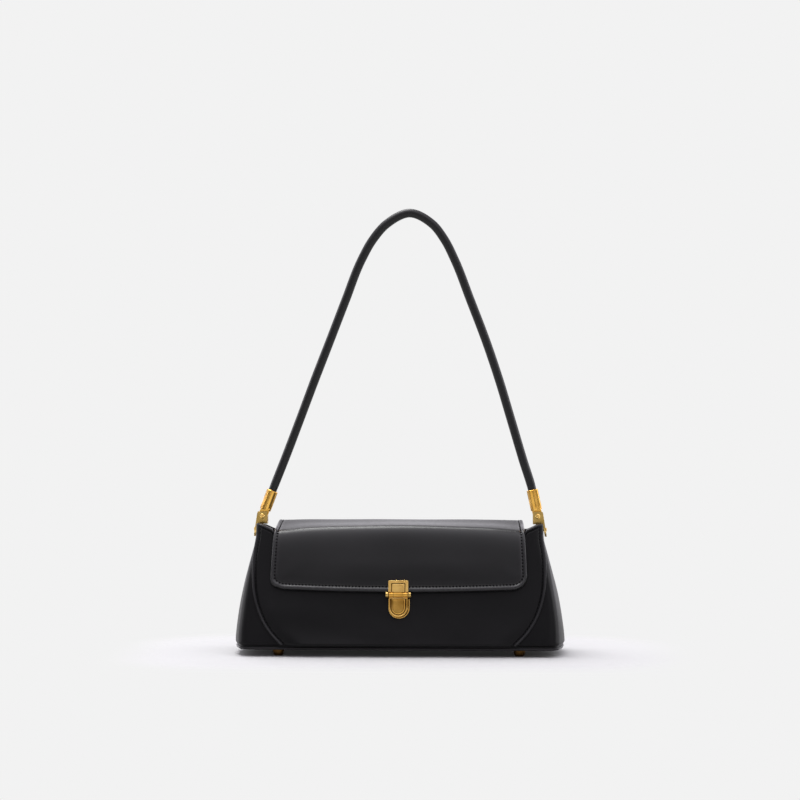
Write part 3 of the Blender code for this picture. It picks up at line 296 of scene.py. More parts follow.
# Weave: threads over and under on a cloth's own flat coordinates, in metres
def makeWeaveGroup():
    group, given, result = newGroup("plain weave", {"Threads": 1600.0}, ["Height", "Tone"])
    scaled = addVector(group, "SCALE", {0: given["Vector"], 3: given["Threads"]})
    axes = addNode(group, "ShaderNodeSeparateXYZ", {0: scaled}).outputs
    across = addMath(group, "SINE", addMath(group, "MULTIPLY", axes[0], math.pi))
    along = addMath(group, "SINE", addMath(group, "MULTIPLY", axes[1], math.pi))
    over = addMath(group, "MULTIPLY", across, along)
    group.links.new(addRange(group, over, -1.0, 1.0, 0.0, 1.0), result["Height"])
    group.links.new(addNoise(group, scaled, 0.11, 3.0), result["Tone"])
    return group


grainGroup = makeGrainGroup()
wearAndHighlightGroup = makeWearAndHighlightGroup()
weaveGroup = makeWeaveGroup()


def newMaterial(name, constants):
    material = bpy.data.materials.new(name)
    material.use_nodes = True
    tree = material.node_tree
    shader = tree.nodes["Principled BSDF"]
    for label, value in constants.items():
        shader.inputs[label].default_value = value
    return material, tree, shader


def useGroup(tree, group, inputs):
    return addNode(tree, "ShaderNodeGroup", inputs, node_tree=group).outputs


def meshMark(tree, name):
    return addNode(tree, "ShaderNodeAttribute", attribute_name=name).outputs["Fac"]


def drawnOut(tree, noise, low=0.0, high=1.0):
    # a noise keeps near its middle, so its middle part is drawn out
    return addRange(tree, noise, 0.3, 0.7, low, high)


def setBump(tree, shader, height, strength, distance):
    bump = addNode(tree, "ShaderNodeBump", {"Height": height, "Strength": strength, "Distance": distance})
    tree.links.new(bump.outputs[0], shader.inputs["Normal"])


def makeLeather(name, look):
    material, tree, shader = newMaterial(name, {
        "IOR": 1.5, "Specular IOR Level": look["gloss"], "Coat Weight": look["coat"],
        "Coat Roughness": look["coatRoughness"]})
    place = objectPlace(tree)
    grain = useGroup(tree, grainGroup, {
        "Vector": place, "Pore Scale": look["pores"], "Crease Scale": look["creases"]})
    wearAndHighlight = useGroup(tree, wearAndHighlightGroup, {
        "Vector": place, "Edge": meshMark(tree, "rim"), "Noise Scale": look["wearScale"],
        "Amount": look["rimWearAndHighlight"]})
    base = addMix(tree, drawnOut(tree, grain["Cloud"]), look["dark"], look["light"])
    # the rim mark lightens edges, beads and stitched grooves: partly edge wear, partly a painted highlight
    wornAndHighlit = addMix(tree, wearAndHighlight["Mask"], base, look["rim"])
    tree.links.new(wornAndHighlit, shader.inputs["Base Color"])
    rough = drawnOut(tree, grain["Tone"], *look["roughness"])
    smoothRim = addMath(tree, "MULTIPLY_ADD", wearAndHighlight["Mask"], look["rimPolish"], rough)
    tree.links.new(smoothRim, shader.inputs["Roughness"])
    setBump(tree, shader, grain["Height"], look["bump"], look["bumpDepth"])
    return material


def makeMetal(name, look):
    material, tree, shader = newMaterial(name, {"Metallic": 1.0})
    place = objectPlace(tree)
    wearAndHighlight = useGroup(tree, wearAndHighlightGroup, {
        "Vector": place, "Edge": meshMark(tree, "rim"), "Noise Scale": look["blotches"]})
    # patina in inner edges and painted shade in recesses and on barrels darken towards the patina colour
    patinaAndShade = addMath(tree, "MULTIPLY", meshMark(tree, "patinaAndShade"), drawnOut(tree, wearAndHighlight["Blotch"], 1.0, 0.8))
    base = addMix(tree, drawnOut(tree, wearAndHighlight["Blotch"]), look["dark"], look["light"])
    # the rim mark gives edges polish with a painted highlight
    polishedAndHighlit = addMix(tree, wearAndHighlight["Mask"], base, look["edge"])
    stainedAndShaded = addMix(tree, addMath(tree, "MULTIPLY", patinaAndShade, look["stainAndShade"]), polishedAndHighlit, look["patinaAndShadeColour"])
    tree.links.new(stainedAndShaded, shader.inputs["Base Color"])
    rough = drawnOut(tree, wearAndHighlight["Blotch"], *look["roughness"])
    rougher = addMath(tree, "MULTIPLY_ADD", patinaAndShade, look["stainRoughness"], rough)
    tree.links.new(rougher, shader.inputs["Roughness"])
    scratches = addNode(tree, "ShaderNodeMapping", {"Vector": place, "Scale": look["brushed"]})
    lines = addNoise(tree, scratches.outputs[0], 1.0, 3.0)
    setBump(tree, shader, lines, look["bump"], look["bumpDepth"])
    return material


def makeCloth(name, look):
    material, tree, shader = newMaterial(name, {
        "Roughness": 0.85, "Specular IOR Level": 0.25, "Sheen Weight": 0.25, "Sheen Roughness": 0.4})
    flat = addNode(tree, "ShaderNodeUVMap").outputs[0]
    weave = useGroup(tree, weaveGroup, {"Vector": flat, "Threads": look["threads"]})
    tone = addMath(tree, "MULTIPLY_ADD", weave["Tone"], 0.6, addMath(
        tree, "MULTIPLY", weave["Height"], 0.4))
    tree.links.new(addMix(tree, tone, look["dark"], look["light"]), shader.inputs["Base Color"])
    setBump(tree, shader, weave["Height"], 0.5, 0.0002)
    return material


def makeFibre(name, look):
    material, tree, shader = newMaterial(name, {"Specular IOR Level": look["gloss"]})
    stretched = addNode(tree, "ShaderNodeMapping", {"Vector": objectPlace(tree), "Scale": look["stretch"]})
    fibres = addNoise(tree, stretched.outputs[0], 1.0, 5.0, Roughness=0.7)
    share = drawnOut(tree, fibres)
    tree.links.new(addMix(tree, share, look["dark"], look["light"]), shader.inputs["Base Color"])
    tree.links.new(addRange(tree, share, 0.0, 1.0, 0.75, 0.95), shader.inputs["Roughness"])
    setBump(tree, shader, fibres, 0.4, 0.0003)
    return material


smoothLeather = {
    "dark": (0.0034, 0.0033, 0.0037, 1), "light": (0.0056, 0.0053, 0.0059, 1),
    # rim is the colour of worn edges and of the painted highlight on beads and grooves
    "rim": (0.0260, 0.0250, 0.0270, 1), "rimWearAndHighlight": 0.8, "rimPolish": -0.10,
    "roughness": (0.34, 0.40), "gloss": 0.12, "coat": 0.0, "coatRoughness": 0.2,
    "pores": 1500.0, "creases": 300.0, "wearScale": 70.0, "bump": 0.10, "bumpDepth": 0.0002,
}
shellLeather = makeLeather("shell leather", smoothLeather)
panelLeather = makeLeather("panel leather", {**smoothLeather, "gloss": 0.16})
flapLeather = makeLeather("flap leather", {**smoothLeather, "roughness": (0.30, 0.36), "gloss": 0.34})
strapLeather = makeLeather("strap leather", {
    **smoothLeather, "roughness": (0.40, 0.47), "gloss": 0.34, "bump": 0.2})
threadBlack = makeFibre("black thread", {
    "dark": (0.0010, 0.0010, 0.0011, 1), "light": (0.0030, 0.0029, 0.0032, 1),
    "stretch": (4000, 4000, 4000), "gloss": 0.06})
liningCloth = makeCloth("lining cloth", {
    "dark": (0.012, 0.011, 0.011, 1), "light": (0.040, 0.037, 0.036, 1), "threads": 2400.0})
agedGold = {
    # edge is the colour of polish and painted highlight; patina darkens inner edges, and serves as painted
    # shade elsewhere
    "dark": (0.78, 0.41, 0.07, 1), "light": (0.97, 0.57, 0.13, 1), "edge": (1.0, 0.69, 0.24, 1),
    "patinaAndShadeColour": (0.045, 0.018, 0.006, 1), "stainAndShade": 0.95, "blotches": 160.0,
    "roughness": (0.25, 0.33), "stainRoughness": 0.15, "brushed": (400, 400, 5000), "bump": 0.03,
    "bumpDepth": 0.0001,
}
goldPlate = makeMetal("gold plate", agedGold)
dullGold = makeMetal("dull gold", {
    **agedGold, "dark": (0.46, 0.30, 0.085, 1), "light": (0.64, 0.43, 0.14, 1)})
polishedGold = makeMetal("polished gold", {
    **agedGold, "roughness": (0.22, 0.27), "brushed": (300, 300, 900), "bump": 0.005})
# the feet's gold is darkened as painted shade from the bag above them
shadeDarkenedGold = makeMetal("gold darkened by painted shade", {
    **agedGold, "dark": (0.07, 0.035, 0.009, 1), "light": (0.13, 0.070, 0.020, 1),
    "roughness": (0.36, 0.46)})
boardFibre = makeFibre("board fibre", {
    "dark": (0.020, 0.018, 0.017, 1), "light": (0.045, 0.042, 0.040, 1), "stretch": (160, 160, 900),
    "gloss": 0.3})
coreCotton = makeFibre("core cotton", {
    "dark": (0.30, 0.29, 0.26, 1), "light": (0.52, 0.51, 0.47, 1),
    "stretch": (500, 500, 1800), "gloss": 0.3})
print("materials made")


# The shell's level section: four arcs joined by four corner arcs, as in the model it dresses
shell = {
    "wallFoot": 0.0098, "shoulder": 0.1030, "mouth": 0.1120, "flarePower": 1.5,
    "halfWidth": (0.1452, 0.1266), "halfDepth": (0.0410, 0.0170), "corner": (0.0105, 0.0080),
    "sideBelly": (0.0050, 0.0008), "frontBelly": (0.0003, 0.0014), "proud": 0.0010,
}
seamShares = [(0.0, 0.731), (0.118, 0.807), (0.27, 0.875), (0.457, 0.930),
              (0.632, 0.961), (0.807, 0.983), (1.0, 0.995)]


class Section:
    def __init__(self, level):
        self.level = level
        flare = (level - shell["wallFoot"]) / (shell["shoulder"] - shell["wallFoot"])
        self.flare = flare = min(max(flare, 0), 1)
        depth = max((level - shell["wallFoot"]) / (shell["mouth"] - shell["wallFoot"]), 0)
        self.radius = mix(*shell["corner"], flare)
        sideBelly = mix(*shell["sideBelly"], flare)
        edgeBelly, crownBelly = shell["frontBelly"]
        frontBelly = edgeBelly + crownBelly * math.sin(math.pi * min(depth, 1))
        self.flat = mix(*shell["halfWidth"], flare ** shell["flarePower"]) - sideBelly
        self.cornerX = self.flat - self.radius
        self.cornerY = mix(*shell["halfDepth"], depth) - self.radius
        self.sideTilt = 2 * math.atan(sideBelly / self.cornerY)
        self.frontTilt = 2 * math.atan(frontBelly / self.cornerX)
        sideReach = self.cornerY / math.sin(self.sideTilt)
        frontReach = self.cornerX / math.sin(self.frontTilt)
        self.sideRadius = self.radius + sideReach
        self.frontRadius = self.radius + frontReach
        self.sideCentre = self.cornerX - sideReach * math.cos(self.sideTilt)
        self.frontCentre = frontReach * math.cos(self.frontTilt) - self.cornerY
        self.cornerTurn = math.pi / 2 - self.sideTilt - self.frontTilt

    def point(self, station, inset):
        # station 0 front middle, 1 to 2 front corner, 3 side middle, 6 back middle
        along = abs(station)
        behind = along > 3
        if behind:
            along = 6 - along
        if along <= 1:
            angle = self.frontTilt * along
            x = (self.frontRadius - inset) * math.sin(angle)
            y = self.frontCentre - (self.frontRadius - inset) * math.cos(angle)
        elif along <= 2:
            angle = self.frontTilt + self.cornerTurn * (along - 1)
            x = self.cornerX + (self.radius - inset) * math.sin(angle)
            y = -self.cornerY - (self.radius - inset) * math.cos(angle)
        else:
            angle = self.sideTilt * (3 - along)
            x = self.sideCentre + (self.sideRadius - inset) * math.cos(angle)
            y = -(self.sideRadius - inset) * math.sin(angle)
        return math.copysign(x, station) if station else x, -y if behind else y

    def place(self, station, inset, flipX=1, flipY=1):
        x, y = self.point(station, inset)
        return Vector((flipX * x, flipY * y, self.level))

    def stationOf(self, x):
        if x <= self.frontRadius * math.sin(self.frontTilt):
            return math.asin(x / self.frontRadius) / self.frontTilt
        angle = math.asin(min((x - self.cornerX) / self.radius, 1))
        return 1 + (angle - self.frontTilt) / self.cornerTurn

    def seamAcross(self):
        return curveThrough(seamShares, self.flare) * self.flat

    def seamStation(self, gap):
        station = self.stationOf(self.seamAcross())
        unit = self.radius * self.cornerTurn if station > 1 else self.frontRadius * self.frontTilt
        return station + gap / unit


@lru_cache(maxsize=None)
def sectionAt(level):
    return Section(level)


def frontSkin(x, level, inset):
    section = sectionAt(level)
    reach = section.frontRadius - inset
    return Vector((x, section.frontCentre - math.sqrt(reach ** 2 - x ** 2), level))


def seamSpread(level):
    # how much wider than square a step from the seam is, taken level, because the seam slants
    step = 0.0005
    rise = (sectionAt(level + step).seamAcross() - sectionAt(level - step).seamAcross()) / (2 * step)
    return math.sqrt(1 + rise ** 2)


def slack(x, z, seed, size):
    # slow unevenness of hand-made leather
    return size * (math.sin(43 * x + 2.1 * seed) * math.cos(31 * z + seed)
                   + 0.5 * math.sin(87 * x + 61 * z + 1.7 * seed))


# A turned edge with a stitched groove behind it: height over the leather's own face
turnedEdge = {"fall": 0.0012, "fallRadius": 0.0009, "bead": 0.0009, "beadWidth": 0.0025,
              "groove": 0.0032, "grooveWidth": 0.0006, "sink": 0.0008}


def edgeHeight(distance, edge):
    distance = max(distance, 0.0)
    height = -roundOver(distance, edge["fallRadius"], edge["fall"])
    if distance < edge["beadWidth"]:
        height += edge["bead"] * math.sin(math.pi * distance / edge["beadWidth"]) ** 0.7
    return height - edge["sink"] * bell(distance, edge["groove"], edge["grooveWidth"])


def nearest(first, second, blend=0.0006):
    # smaller of two distances, with the change between them rounded
    share = smooth(0.5 + (second - first) / (2 * blend) / 2)
    return mix(second, first, share)


# Meshes from rows of places
def meshPiece(name, places, faces, marks=None, flats=None):
    mesh = bpy.data.meshes.new(name)
    mesh.from_pydata(places, [], faces)
    body = bmesh.new()
    body.from_mesh(mesh)
    bmesh.ops.recalc_face_normals(body, faces=body.faces)
    body.to_mesh(mesh)
    body.free()
    if marks:
        attribute = mesh.attributes.new("rim", "FLOAT", "POINT")
        attribute.data.foreach_set("value", marks)
    if flats:
        layer = mesh.uv_layers.new(name="flat")
        for loop in mesh.loops:
            layer.data[loop.index].uv = flats[loop.vertex_index]
    mesh.shade_smooth()
    mesh.set_sharp_from_angle(angle=math.radians(55))
    piece = bpy.data.objects.new(name, mesh)
    bpy.context.scene.collection.objects.link(piece)
    return piece


def shellPiece(name, grid, marked=True, flat=False):
    # closed shell from rows of cells: outer place, inner place, then a rim mark for wear and painted
    # highlight, a flat place or both
    rows, columns = len(grid), len(grid[0])
    cells = [cell for row in grid for cell in row]

    def spot(side, i, j):
        return (side * rows + i) * columns + j

    faces = []
    for side in (0, 1):
        for i in range(rows - 1):
            for j in range(columns - 1):
                faces.append((spot(side, i, j), spot(side, i, j + 1),
                              spot(side, i + 1, j + 1), spot(side, i + 1, j)))
    for i in range(rows - 1):
        for j in (0, columns - 1):
            faces.append((spot(0, i, j), spot(0, i + 1, j), spot(1, i + 1, j), spot(1, i, j)))
    for j in range(columns - 1):
        for i in (0, rows - 1):
            faces.append((spot(0, i, j), spot(0, i, j + 1), spot(1, i, j + 1), spot(1, i, j)))
    places = [cell[side] for side in (0, 1) for cell in cells]
    marks = [cell[2] for cell in cells] * 2 if marked else None
    flats = [cell[-1] for cell in cells] * 2 if flat else None
    return meshPiece(name, places, faces, marks, flats)


def tubeFaces(first, rings, around):
    # walls and both ends of a tube whose first place has the number given
    last = first + (rings - 1) * around
    faces = []
    for start in range(first, last, around):
        for j in range(around):
            after = (j + 1) % around
            faces.append((start + j, start + after, start + around + after, start + around + j))
    return faces + [tuple(range(first, first + around)), tuple(range(last, last + around))]


def tubePiece(name, rings, marks=None, flats=None):
    places = [place for ring in rings for place in ring]
    return meshPiece(name, places, tubeFaces(0, len(rings), len(rings[0])), marks, flats)


def dress(piece, body, material, slot, *nodes):
    piece.data.materials.clear()
    piece.data.materials.append(material)
    if nodes:
        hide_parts(*nodes)
    if body:
        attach(piece, body)
    return piece


# Stitches: one short rounded thread, laid along a row and dipping at both ends
stitch = {"pitch": 0.0029, "length": 0.0018, "radius": 0.00050, "dip": 0.00050, "around": 6, "along": 5}


def stitchPiece(name, rows):
    # rows are lists of (place, outward normal)
    places, faces = [], []
    for row in rows:
        lengths = [0.0]
        for (before, _), (after, _) in zip(row, row[1:]):
            lengths.append(lengths[-1] + (after - before).length)
        count = int(lengths[-1] / stitch["pitch"])
        spot = 0
        for number in range(count):
            centre = (number + 0.5) * lengths[-1] / count
            while lengths[spot + 1] < centre:
                spot += 1
            share = (centre - lengths[spot]) / (lengths[spot + 1] - lengths[spot])
            middle = row[spot][0].lerp(row[spot + 1][0], share)
            outward = row[spot][1].lerp(row[spot + 1][1], share).normalized()
            along = (row[spot + 1][0] - row[spot][0]).normalized()
            side = outward.cross(along)
            faces += tubeFaces(len(places), stitch["along"], stitch["around"])
            for step in range(stitch["along"]):
                t = 2 * step / (stitch["along"] - 1) - 1
                radius = stitch["radius"] * math.sqrt(1 - 0.75 * t ** 2)
                centreLine = middle + along * (t * stitch["length"] / 2)
                centreLine = centreLine - outward * (stitch["dip"] * t ** 4)
                for turn in range(stitch["around"]):
                    angle = 2 * math.pi * turn / stitch["around"]
                    places.append(centreLine + side * (radius * math.cos(angle))
                                  + outward * (radius * math.sin(angle)))
    return meshPiece(name, places, faces)


# Front and back panels: lapped over the gussets with a turned, stitched edge
panel = {
    "cornerTop": {"front": 0.1140, "back": 0.1117}, "wave": 0.0007, "flare": (0.0015, 0.0032),
    "flareLevel": 0.036,
    "top": {
        "front": [(0, 0.1012), (0.1067, 0.1012), (0.1092, 0.1034), (0.1102, 0.1066), (0.1110, 0.1089),
                  (0.1120, 0.1098), (0.1160, 0.1116), (0.1215, 0.1140), (0.1300, 0.1140)],
        "back": [(0, 0.1115), (0.1062, 0.1115), (0.1085, 0.1086), (0.1120, 0.1080), (0.1160, 0.1095),
                 (0.1215, 0.1117), (0.1300, 0.1117)],
    },
    "earPlaces": (0.1067, 0.1082, 0.1092, 0.1098, 0.1103, 0.1107, 0.1111, 0.1115, 0.1120, 0.1126, 0.1134),
    "side": [0, 0.00012, 0.0003, 0.0005, 0.0007, 0.0010, 0.0014, 0.0018, 0.0021, 0.0024, 0.0027,
             0.0030, 0.0033, 0.0036, 0.0039, 0.0043, 0.0050, 0.0062],
    "foot": [0, 0.0002, 0.0005, 0.0009, 0.0014, 0.0020, 0.0028, 0.0040],
    "columns": 72, "rows": 32, "footTurn": 0.0022, "footDepth": 0.0014, "inside": 0.0020,
    "lap": (0.0035, 0.0080), "topFall": 0.0012, "topRadius": 0.0013, "slack": 0.00022,
    "thinnest": 0.0003,
}


def panelPlace(columnShare, columnStep, level, sign):
    spread = seamSpread(level)
    border = panel["side"][-1] * spread
    return sign * (columnShare * (sectionAt(level).seamAcross() - border)
                   + (border - columnStep * spread if columnShare == 1 else 0))


def buildPanel(name, node, side):
    behind = side == "back"
    flip = -1 if behind else 1
    border, count = panel["side"], panel["columns"] // 2
    width = panelPlace(1, border[-1], shell["mouth"], 1)
    shares = sorted([k / count for k in range(count + 1)] + [place / width for place in panel["earPlaces"]])
    columns = [(-1, 1, step) for step in border[:-1]]
    columns += [(-1, share, border[-1]) for share in shares[:0:-1]]
    columns += [(1, share, border[-1]) for share in shares]
    columns += [(1, 1, step) for step in border[-2::-1]]
    grid = []
    foot = shell["wallFoot"]
    for sign, share, step in columns:
        top = curveThrough(panel["top"][side], abs(panelPlace(share, step, shell["mouth"], sign)))
        levels = [(foot + low, low, top - foot - low) for low in panel["foot"]]
        start, end = foot + panel["foot"][-1], top - border[-1]
        levels += [(level, level - foot, top - level) for level in evenly(start, end, panel["rows"])[1:-1]]
        levels += [(top - high, top - high - foot, high) for high in border[::-1]]
        row = []
        for level, toFoot, toTop in levels:
            x = panelPlace(share, step, level, sign)
            section = sectionAt(level)
            toSide = (section.seamAcross() - abs(x)) / seamSpread(level)
            # the back's top stays plain, so that the flap can lie against it
            edge = toSide if behind else nearest(toSide, toTop)
            topFall = roundOver(toTop, panel["topRadius"], panel["topFall"])
            height = edgeHeight(edge, turnedEdge) - topFall
            height -= roundOver(toFoot, panel["footTurn"], panel["footDepth"])
            calm = smooth(edge / 0.012) * smooth(toFoot / 0.01)
            height += calm * slack(x, level, 5.0 if behind else 1.0, panel["slack"])
            # the leather fills out a little along the foot, more so on the left
            waveLevel = 0.026 + 0.010 * smooth((-x - 0.005) / 0.09)
            waveShare = mix(0.45, 1.0, smooth((0.06 - x) / 0.12))
            height += calm * panel["wave"] * waveShare * bell(level, waveLevel, 0.012)
            flare = max((panel["flareLevel"] - level) / (panel["flareLevel"] - foot), 0) ** 2
            height += flare * smooth(edge / 0.016) * mix(*panel["flare"], smooth((0.08 - x) / 0.16))
            lap = smooth((toSide - panel["lap"][0]) / (panel["lap"][1] - panel["lap"][0]))
            inset = -shell["proud"] - height
            depth = max(mix(-0.0001, panel["inside"], lap) - topFall, inset + panel["thinnest"])
            station = math.copysign(section.stationOf(abs(x)), sign)
            # the rim mark gives wear and a painted highlight along the crest of the turned edge
            row.append((section.place(station, inset, 1, flip), section.place(station, depth, 1, flip),
                        bell(edge, 0.0013, 0.0009)))
        grid.append(row)
    return dress(shellPiece(name, grid), "bag_body", panelLeather, "shell_leather", node)


def seamRow(sign, behind):
    row = []
    flip = -1 if behind else 1
    head = panel["cornerTop"]["back" if behind else "front"] - 0.0035
    inset = turnedEdge["sink"] - shell["proud"] - 0.00012
    for level in evenly(shell["wallFoot"] + 0.0012, head, 240):
        section = sectionAt(level)
        station = section.stationOf(section.seamAcross() - turnedEdge["groove"] * seamSpread(level))
        low, high = (section.place(station, reach, sign, flip) for reach in (inset, inset - 0.001))
        row.append((low, (high - low).normalized()))
    return row


buildPanel("front_leather", "front_panel", "front")
buildPanel("back_leather", "back_panel", "back")
seamStitches = stitchPiece("seam_stitches", [seamRow(s, b) for s in (-1, 1) for b in (False, True)])
dress(seamStitches, "bag_body", threadBlack, "shell_leather")
print("panels built")

# Gussets: round the sides from seam to seam, tucked under the panels, with an ear for the clip
gusset = {
    "tuck": 0.0030, "columns": 30, "rows": 34, "thickness": 0.0020, "top": 0.1040, "shoulder": 0.29,
    "ear": 0.0047, "earLevel": 0.1083, "topRadius": 0.0009, "footTurn": 0.0022, "footDepth": 0.0014,
    "topFall": 0.0008, "dimple": 0.0011, "slack": 0.0003,
}


def gussetTop(share, depth, corner):
    fall = mix(corner, gusset["top"], smooth(share / gusset["shoulder"]))
    if abs(depth) >= gusset["ear"]:
        return fall
    return max(fall, gusset["earLevel"] + math.sqrt(gusset["ear"] ** 2 - depth ** 2))


def buildGusset(name, node, hand):
    half = [1 - (1 - k / gusset["columns"]) ** 1.25 for k in range(gusset["columns"] + 1)]
    shares = [-0.0001] + half + [2 - share for share in half[-2::-1]] + [2.0001]
    topSteps = [0, 0.0002, 0.0004, 0.0007, 0.0011, 0.0017]
    mouthSection = sectionAt(gusset["earLevel"])
    foot = shell["wallFoot"]
    grid = []
    for share in shares:
        near = min(share, 2 - share)
        tucked = near < 0
        near = max(near, 0)
        station = mix(mouthSection.seamStation(0), 3, near)
        corner = panel["cornerTop"]["back" if share > 1 else "front"]
        top = gussetTop(near, mouthSection.point(station, 0)[1], corner)
        top = min(top, panel["cornerTop"]["front"] - 0.0004, corner - 0.0004 if near < 0.5 else top)
        levels = [foot + low for low in panel["foot"]]
        start, end = levels[-1], top - topSteps[-1]
        levels += evenly(start, end, gusset["rows"])[1:-1]
        levels += [top - high for high in topSteps[::-1]]
        row = []
        for level in levels:
            section = sectionAt(level)
            station = mix(section.seamStation(-gusset["tuck"] if tucked else 0), 3, near)
            if share > 1:
                station = 6 - station
            y = section.point(station, 0)[1]
            rise = (level - foot) / (top - foot)
            sink = roundOver(level - foot, gusset["footTurn"], gusset["footDepth"])
            # the middle of the side is drawn in, more so towards the clip
            dimple = gusset["dimple"] * bell(y, 0, 0.0085) * smooth((rise - 0.35) / 0.4)
            sink += dimple * (1 - smooth((level - 0.098) / 0.006))
            calm = smooth(near / 0.2) * smooth(level / 0.02 - 0.6) * (1 - smooth((level - 0.094) / 0.008))
            sink += calm * slack(y * 1.7, level, 3.0 + hand, gusset["slack"])
            fall = roundOver(top - level, gusset["topRadius"], gusset["topFall"])
            # the rim mark gives the top edge wear and a painted highlight
            row.append((section.place(station, sink + fall, hand),
                        section.place(station, gusset["thickness"] - fall, hand),
                        bell(top - level, 0, 0.0012)))
        grid.append(row)
    return dress(shellPiece(name, grid), "bag_body", shellLeather, "shell_leather", node)


buildGusset("left_gusset_leather", "left_gusset", -1)
buildGusset("right_gusset_leather", "right_gusset", 1)


def sectionRing(level, height, inset, steps=16):
    stations = [k / steps for k in range(3 * steps)] + [3 + k / steps for k in range(3 * steps)] + [6]
    right = [sectionAt(level).point(station, inset) for station in stations]
    ring = right + [(-x, y) for x, y in right[-2:0:-1]]
    return [Vector((x, y, height)) for x, y in ring]


# Base: a slab with a piped edge that stands a little lower, inside the walls' turned feet
base = {"level": 0.0072, "top": 0.0095, "inset": 0.0008, "pipe": 0.00115, "pipeLevel": 0.0070,
        "under": (0.022, 0.008, 0.0042), "topReach": 0.008}


def buildBase():
    foot = shell["wallFoot"]
    rings = [sectionRing(foot, base["level"], depth) for depth in base["under"]]
    marks = [0] * len(rings)
    for k in range(15):
        angle = math.pi * (k / 14 * 1.25 - 0.75)
        inset = base["inset"] + base["pipe"] * (1 - math.cos(angle))
        rings.append(sectionRing(foot, base["pipeLevel"] + math.sin(angle) * base["pipe"], inset))
        # the outer half of the pipe gets a rim mark: wear and a painted highlight
        marks.append(max(math.cos(angle), 0))
    for depth in (base["inset"] + base["pipe"], base["topReach"]):
        rings.append(sectionRing(foot, base["top"], depth))
        marks.append(0)
    values = [mark for mark, ring in zip(marks, rings) for _ in ring]
    piece = tubePiece("base_leather", rings, marks=values)
    return dress(piece, "bag_body", shellLeather, "shell_leather", "base_panel")


buildBase()
print("gussets and base built")

# Lining: an open sack of cloth with shallow folds
lining = {"inset": 0.0038, "thickness": 0.0008, "foot": 0.0140, "top": 0.0990, "rows": 26, "fold": 0.0007}


def buildLining():
    walls = []
    stations = [k / 12 for k in range(73)]
    for depth in (0, lining["thickness"]):
        rings = []
        for k, level in enumerate(evenly(lining["foot"] + depth, lining["top"], lining["rows"])):
            section = sectionAt(level)
            calm = smooth(k / 4) * smooth((lining["rows"] - k) / 5)
            ring = []
            for hand in (1, -1):
                for station in stations[:-1] if hand > 0 else stations[:0:-1]:
                    fold = math.sin(9 * station + 60 * level) * math.sin(23 * station * hand + 2 * k / 5)
                    inset = lining["inset"] + depth + calm * lining["fold"] * (1 + fold) / 2
                    ring.append(section.place(station, inset, hand))
            rings.append(ring)
        walls.append(rings)
    # each layer's floor runs in halfway to the middle, where one flat face closes it
    ends = [[place.lerp(Vector((0, 0, place.z)), 0.5) for place in wall[0]] for wall in walls]
    rings = [ends[0]] + walls[0] + walls[1][::-1] + [ends[1]]
    flats = []
    length = 0.0
    for i, ring in enumerate(rings):
        length += (ring[0] - rings[max(i - 1, 0)][0]).length
        across = 0.0
        for j, place in enumerate(ring):
            across += (place - ring[max(j - 1, 0)]).length
            flats.append((across, length))
    piece = tubePiece("lining_cloth", rings, flats=flats)
    return dress(piece, "bag_body", liningCloth, "lining_cloth", "lining")


buildLining()
pocket = {"halfWidth": 0.0600, "foot": 0.0350, "top": 0.0850, "gap": 0.0049, "thickness": 0.0011,
          "lift": 0.0010, "row": 0.0018, "threadLift": 0.0004}


def pocketPlace(x, level, out):
    place = frontSkin(x, level, pocket["gap"] + out)
    return Vector((x, -place.y, level))


def buildPocket():
    grid = []
    for level in evenly(pocket["foot"], pocket["top"], 28):
        row = []
        for x in evenly(-pocket["halfWidth"], pocket["halfWidth"], 60):
            toSide = min(pocket["halfWidth"] - abs(x), level - pocket["foot"])
            toTop = pocket["top"] - level
            bulge = pocket["lift"] * smooth(toSide / 0.02) * (0.6 + 0.4 * smooth(1 - toTop / 0.03))
            hem = 0.0003 * (bell(toTop, 0.002, 0.002) + bell(toSide, 0.001, 0.0012))
            row.append((pocketPlace(x, level, pocket["thickness"] + bulge + hem),
                        pocketPlace(x, level, bulge), (x, level)))
        grid.append(row)
    piece = shellPiece("pocket_cloth", grid, marked=False, flat=True)
    return dress(piece, "bag_body", liningCloth, "lining_cloth", "slip_pocket")


def pocketRow(points):
    out = pocket["thickness"] + pocket["threadLift"]
    return [(pocketPlace(x, level, out), Vector((0, -1, 0))) for x, level in points]


buildPocket()
pocketSide, pocketFoot = pocket["halfWidth"] - pocket["row"], pocket["foot"] + pocket["row"]
pocketRows = [
    pocketRow([(-pocketSide, level) for level in evenly(pocket["top"], pocketFoot, 20)]),
    pocketRow([(x, pocketFoot) for x in evenly(-pocketSide, pocketSide, 40)]),
    pocketRow([(pocketSide, level) for level in evenly(pocketFoot, pocket["top"], 20)]),
]
dress(stitchPiece("pocket_stitches", pocketRows), "bag_body", threadBlack, "lining_cloth")
print("lining and pocket built")

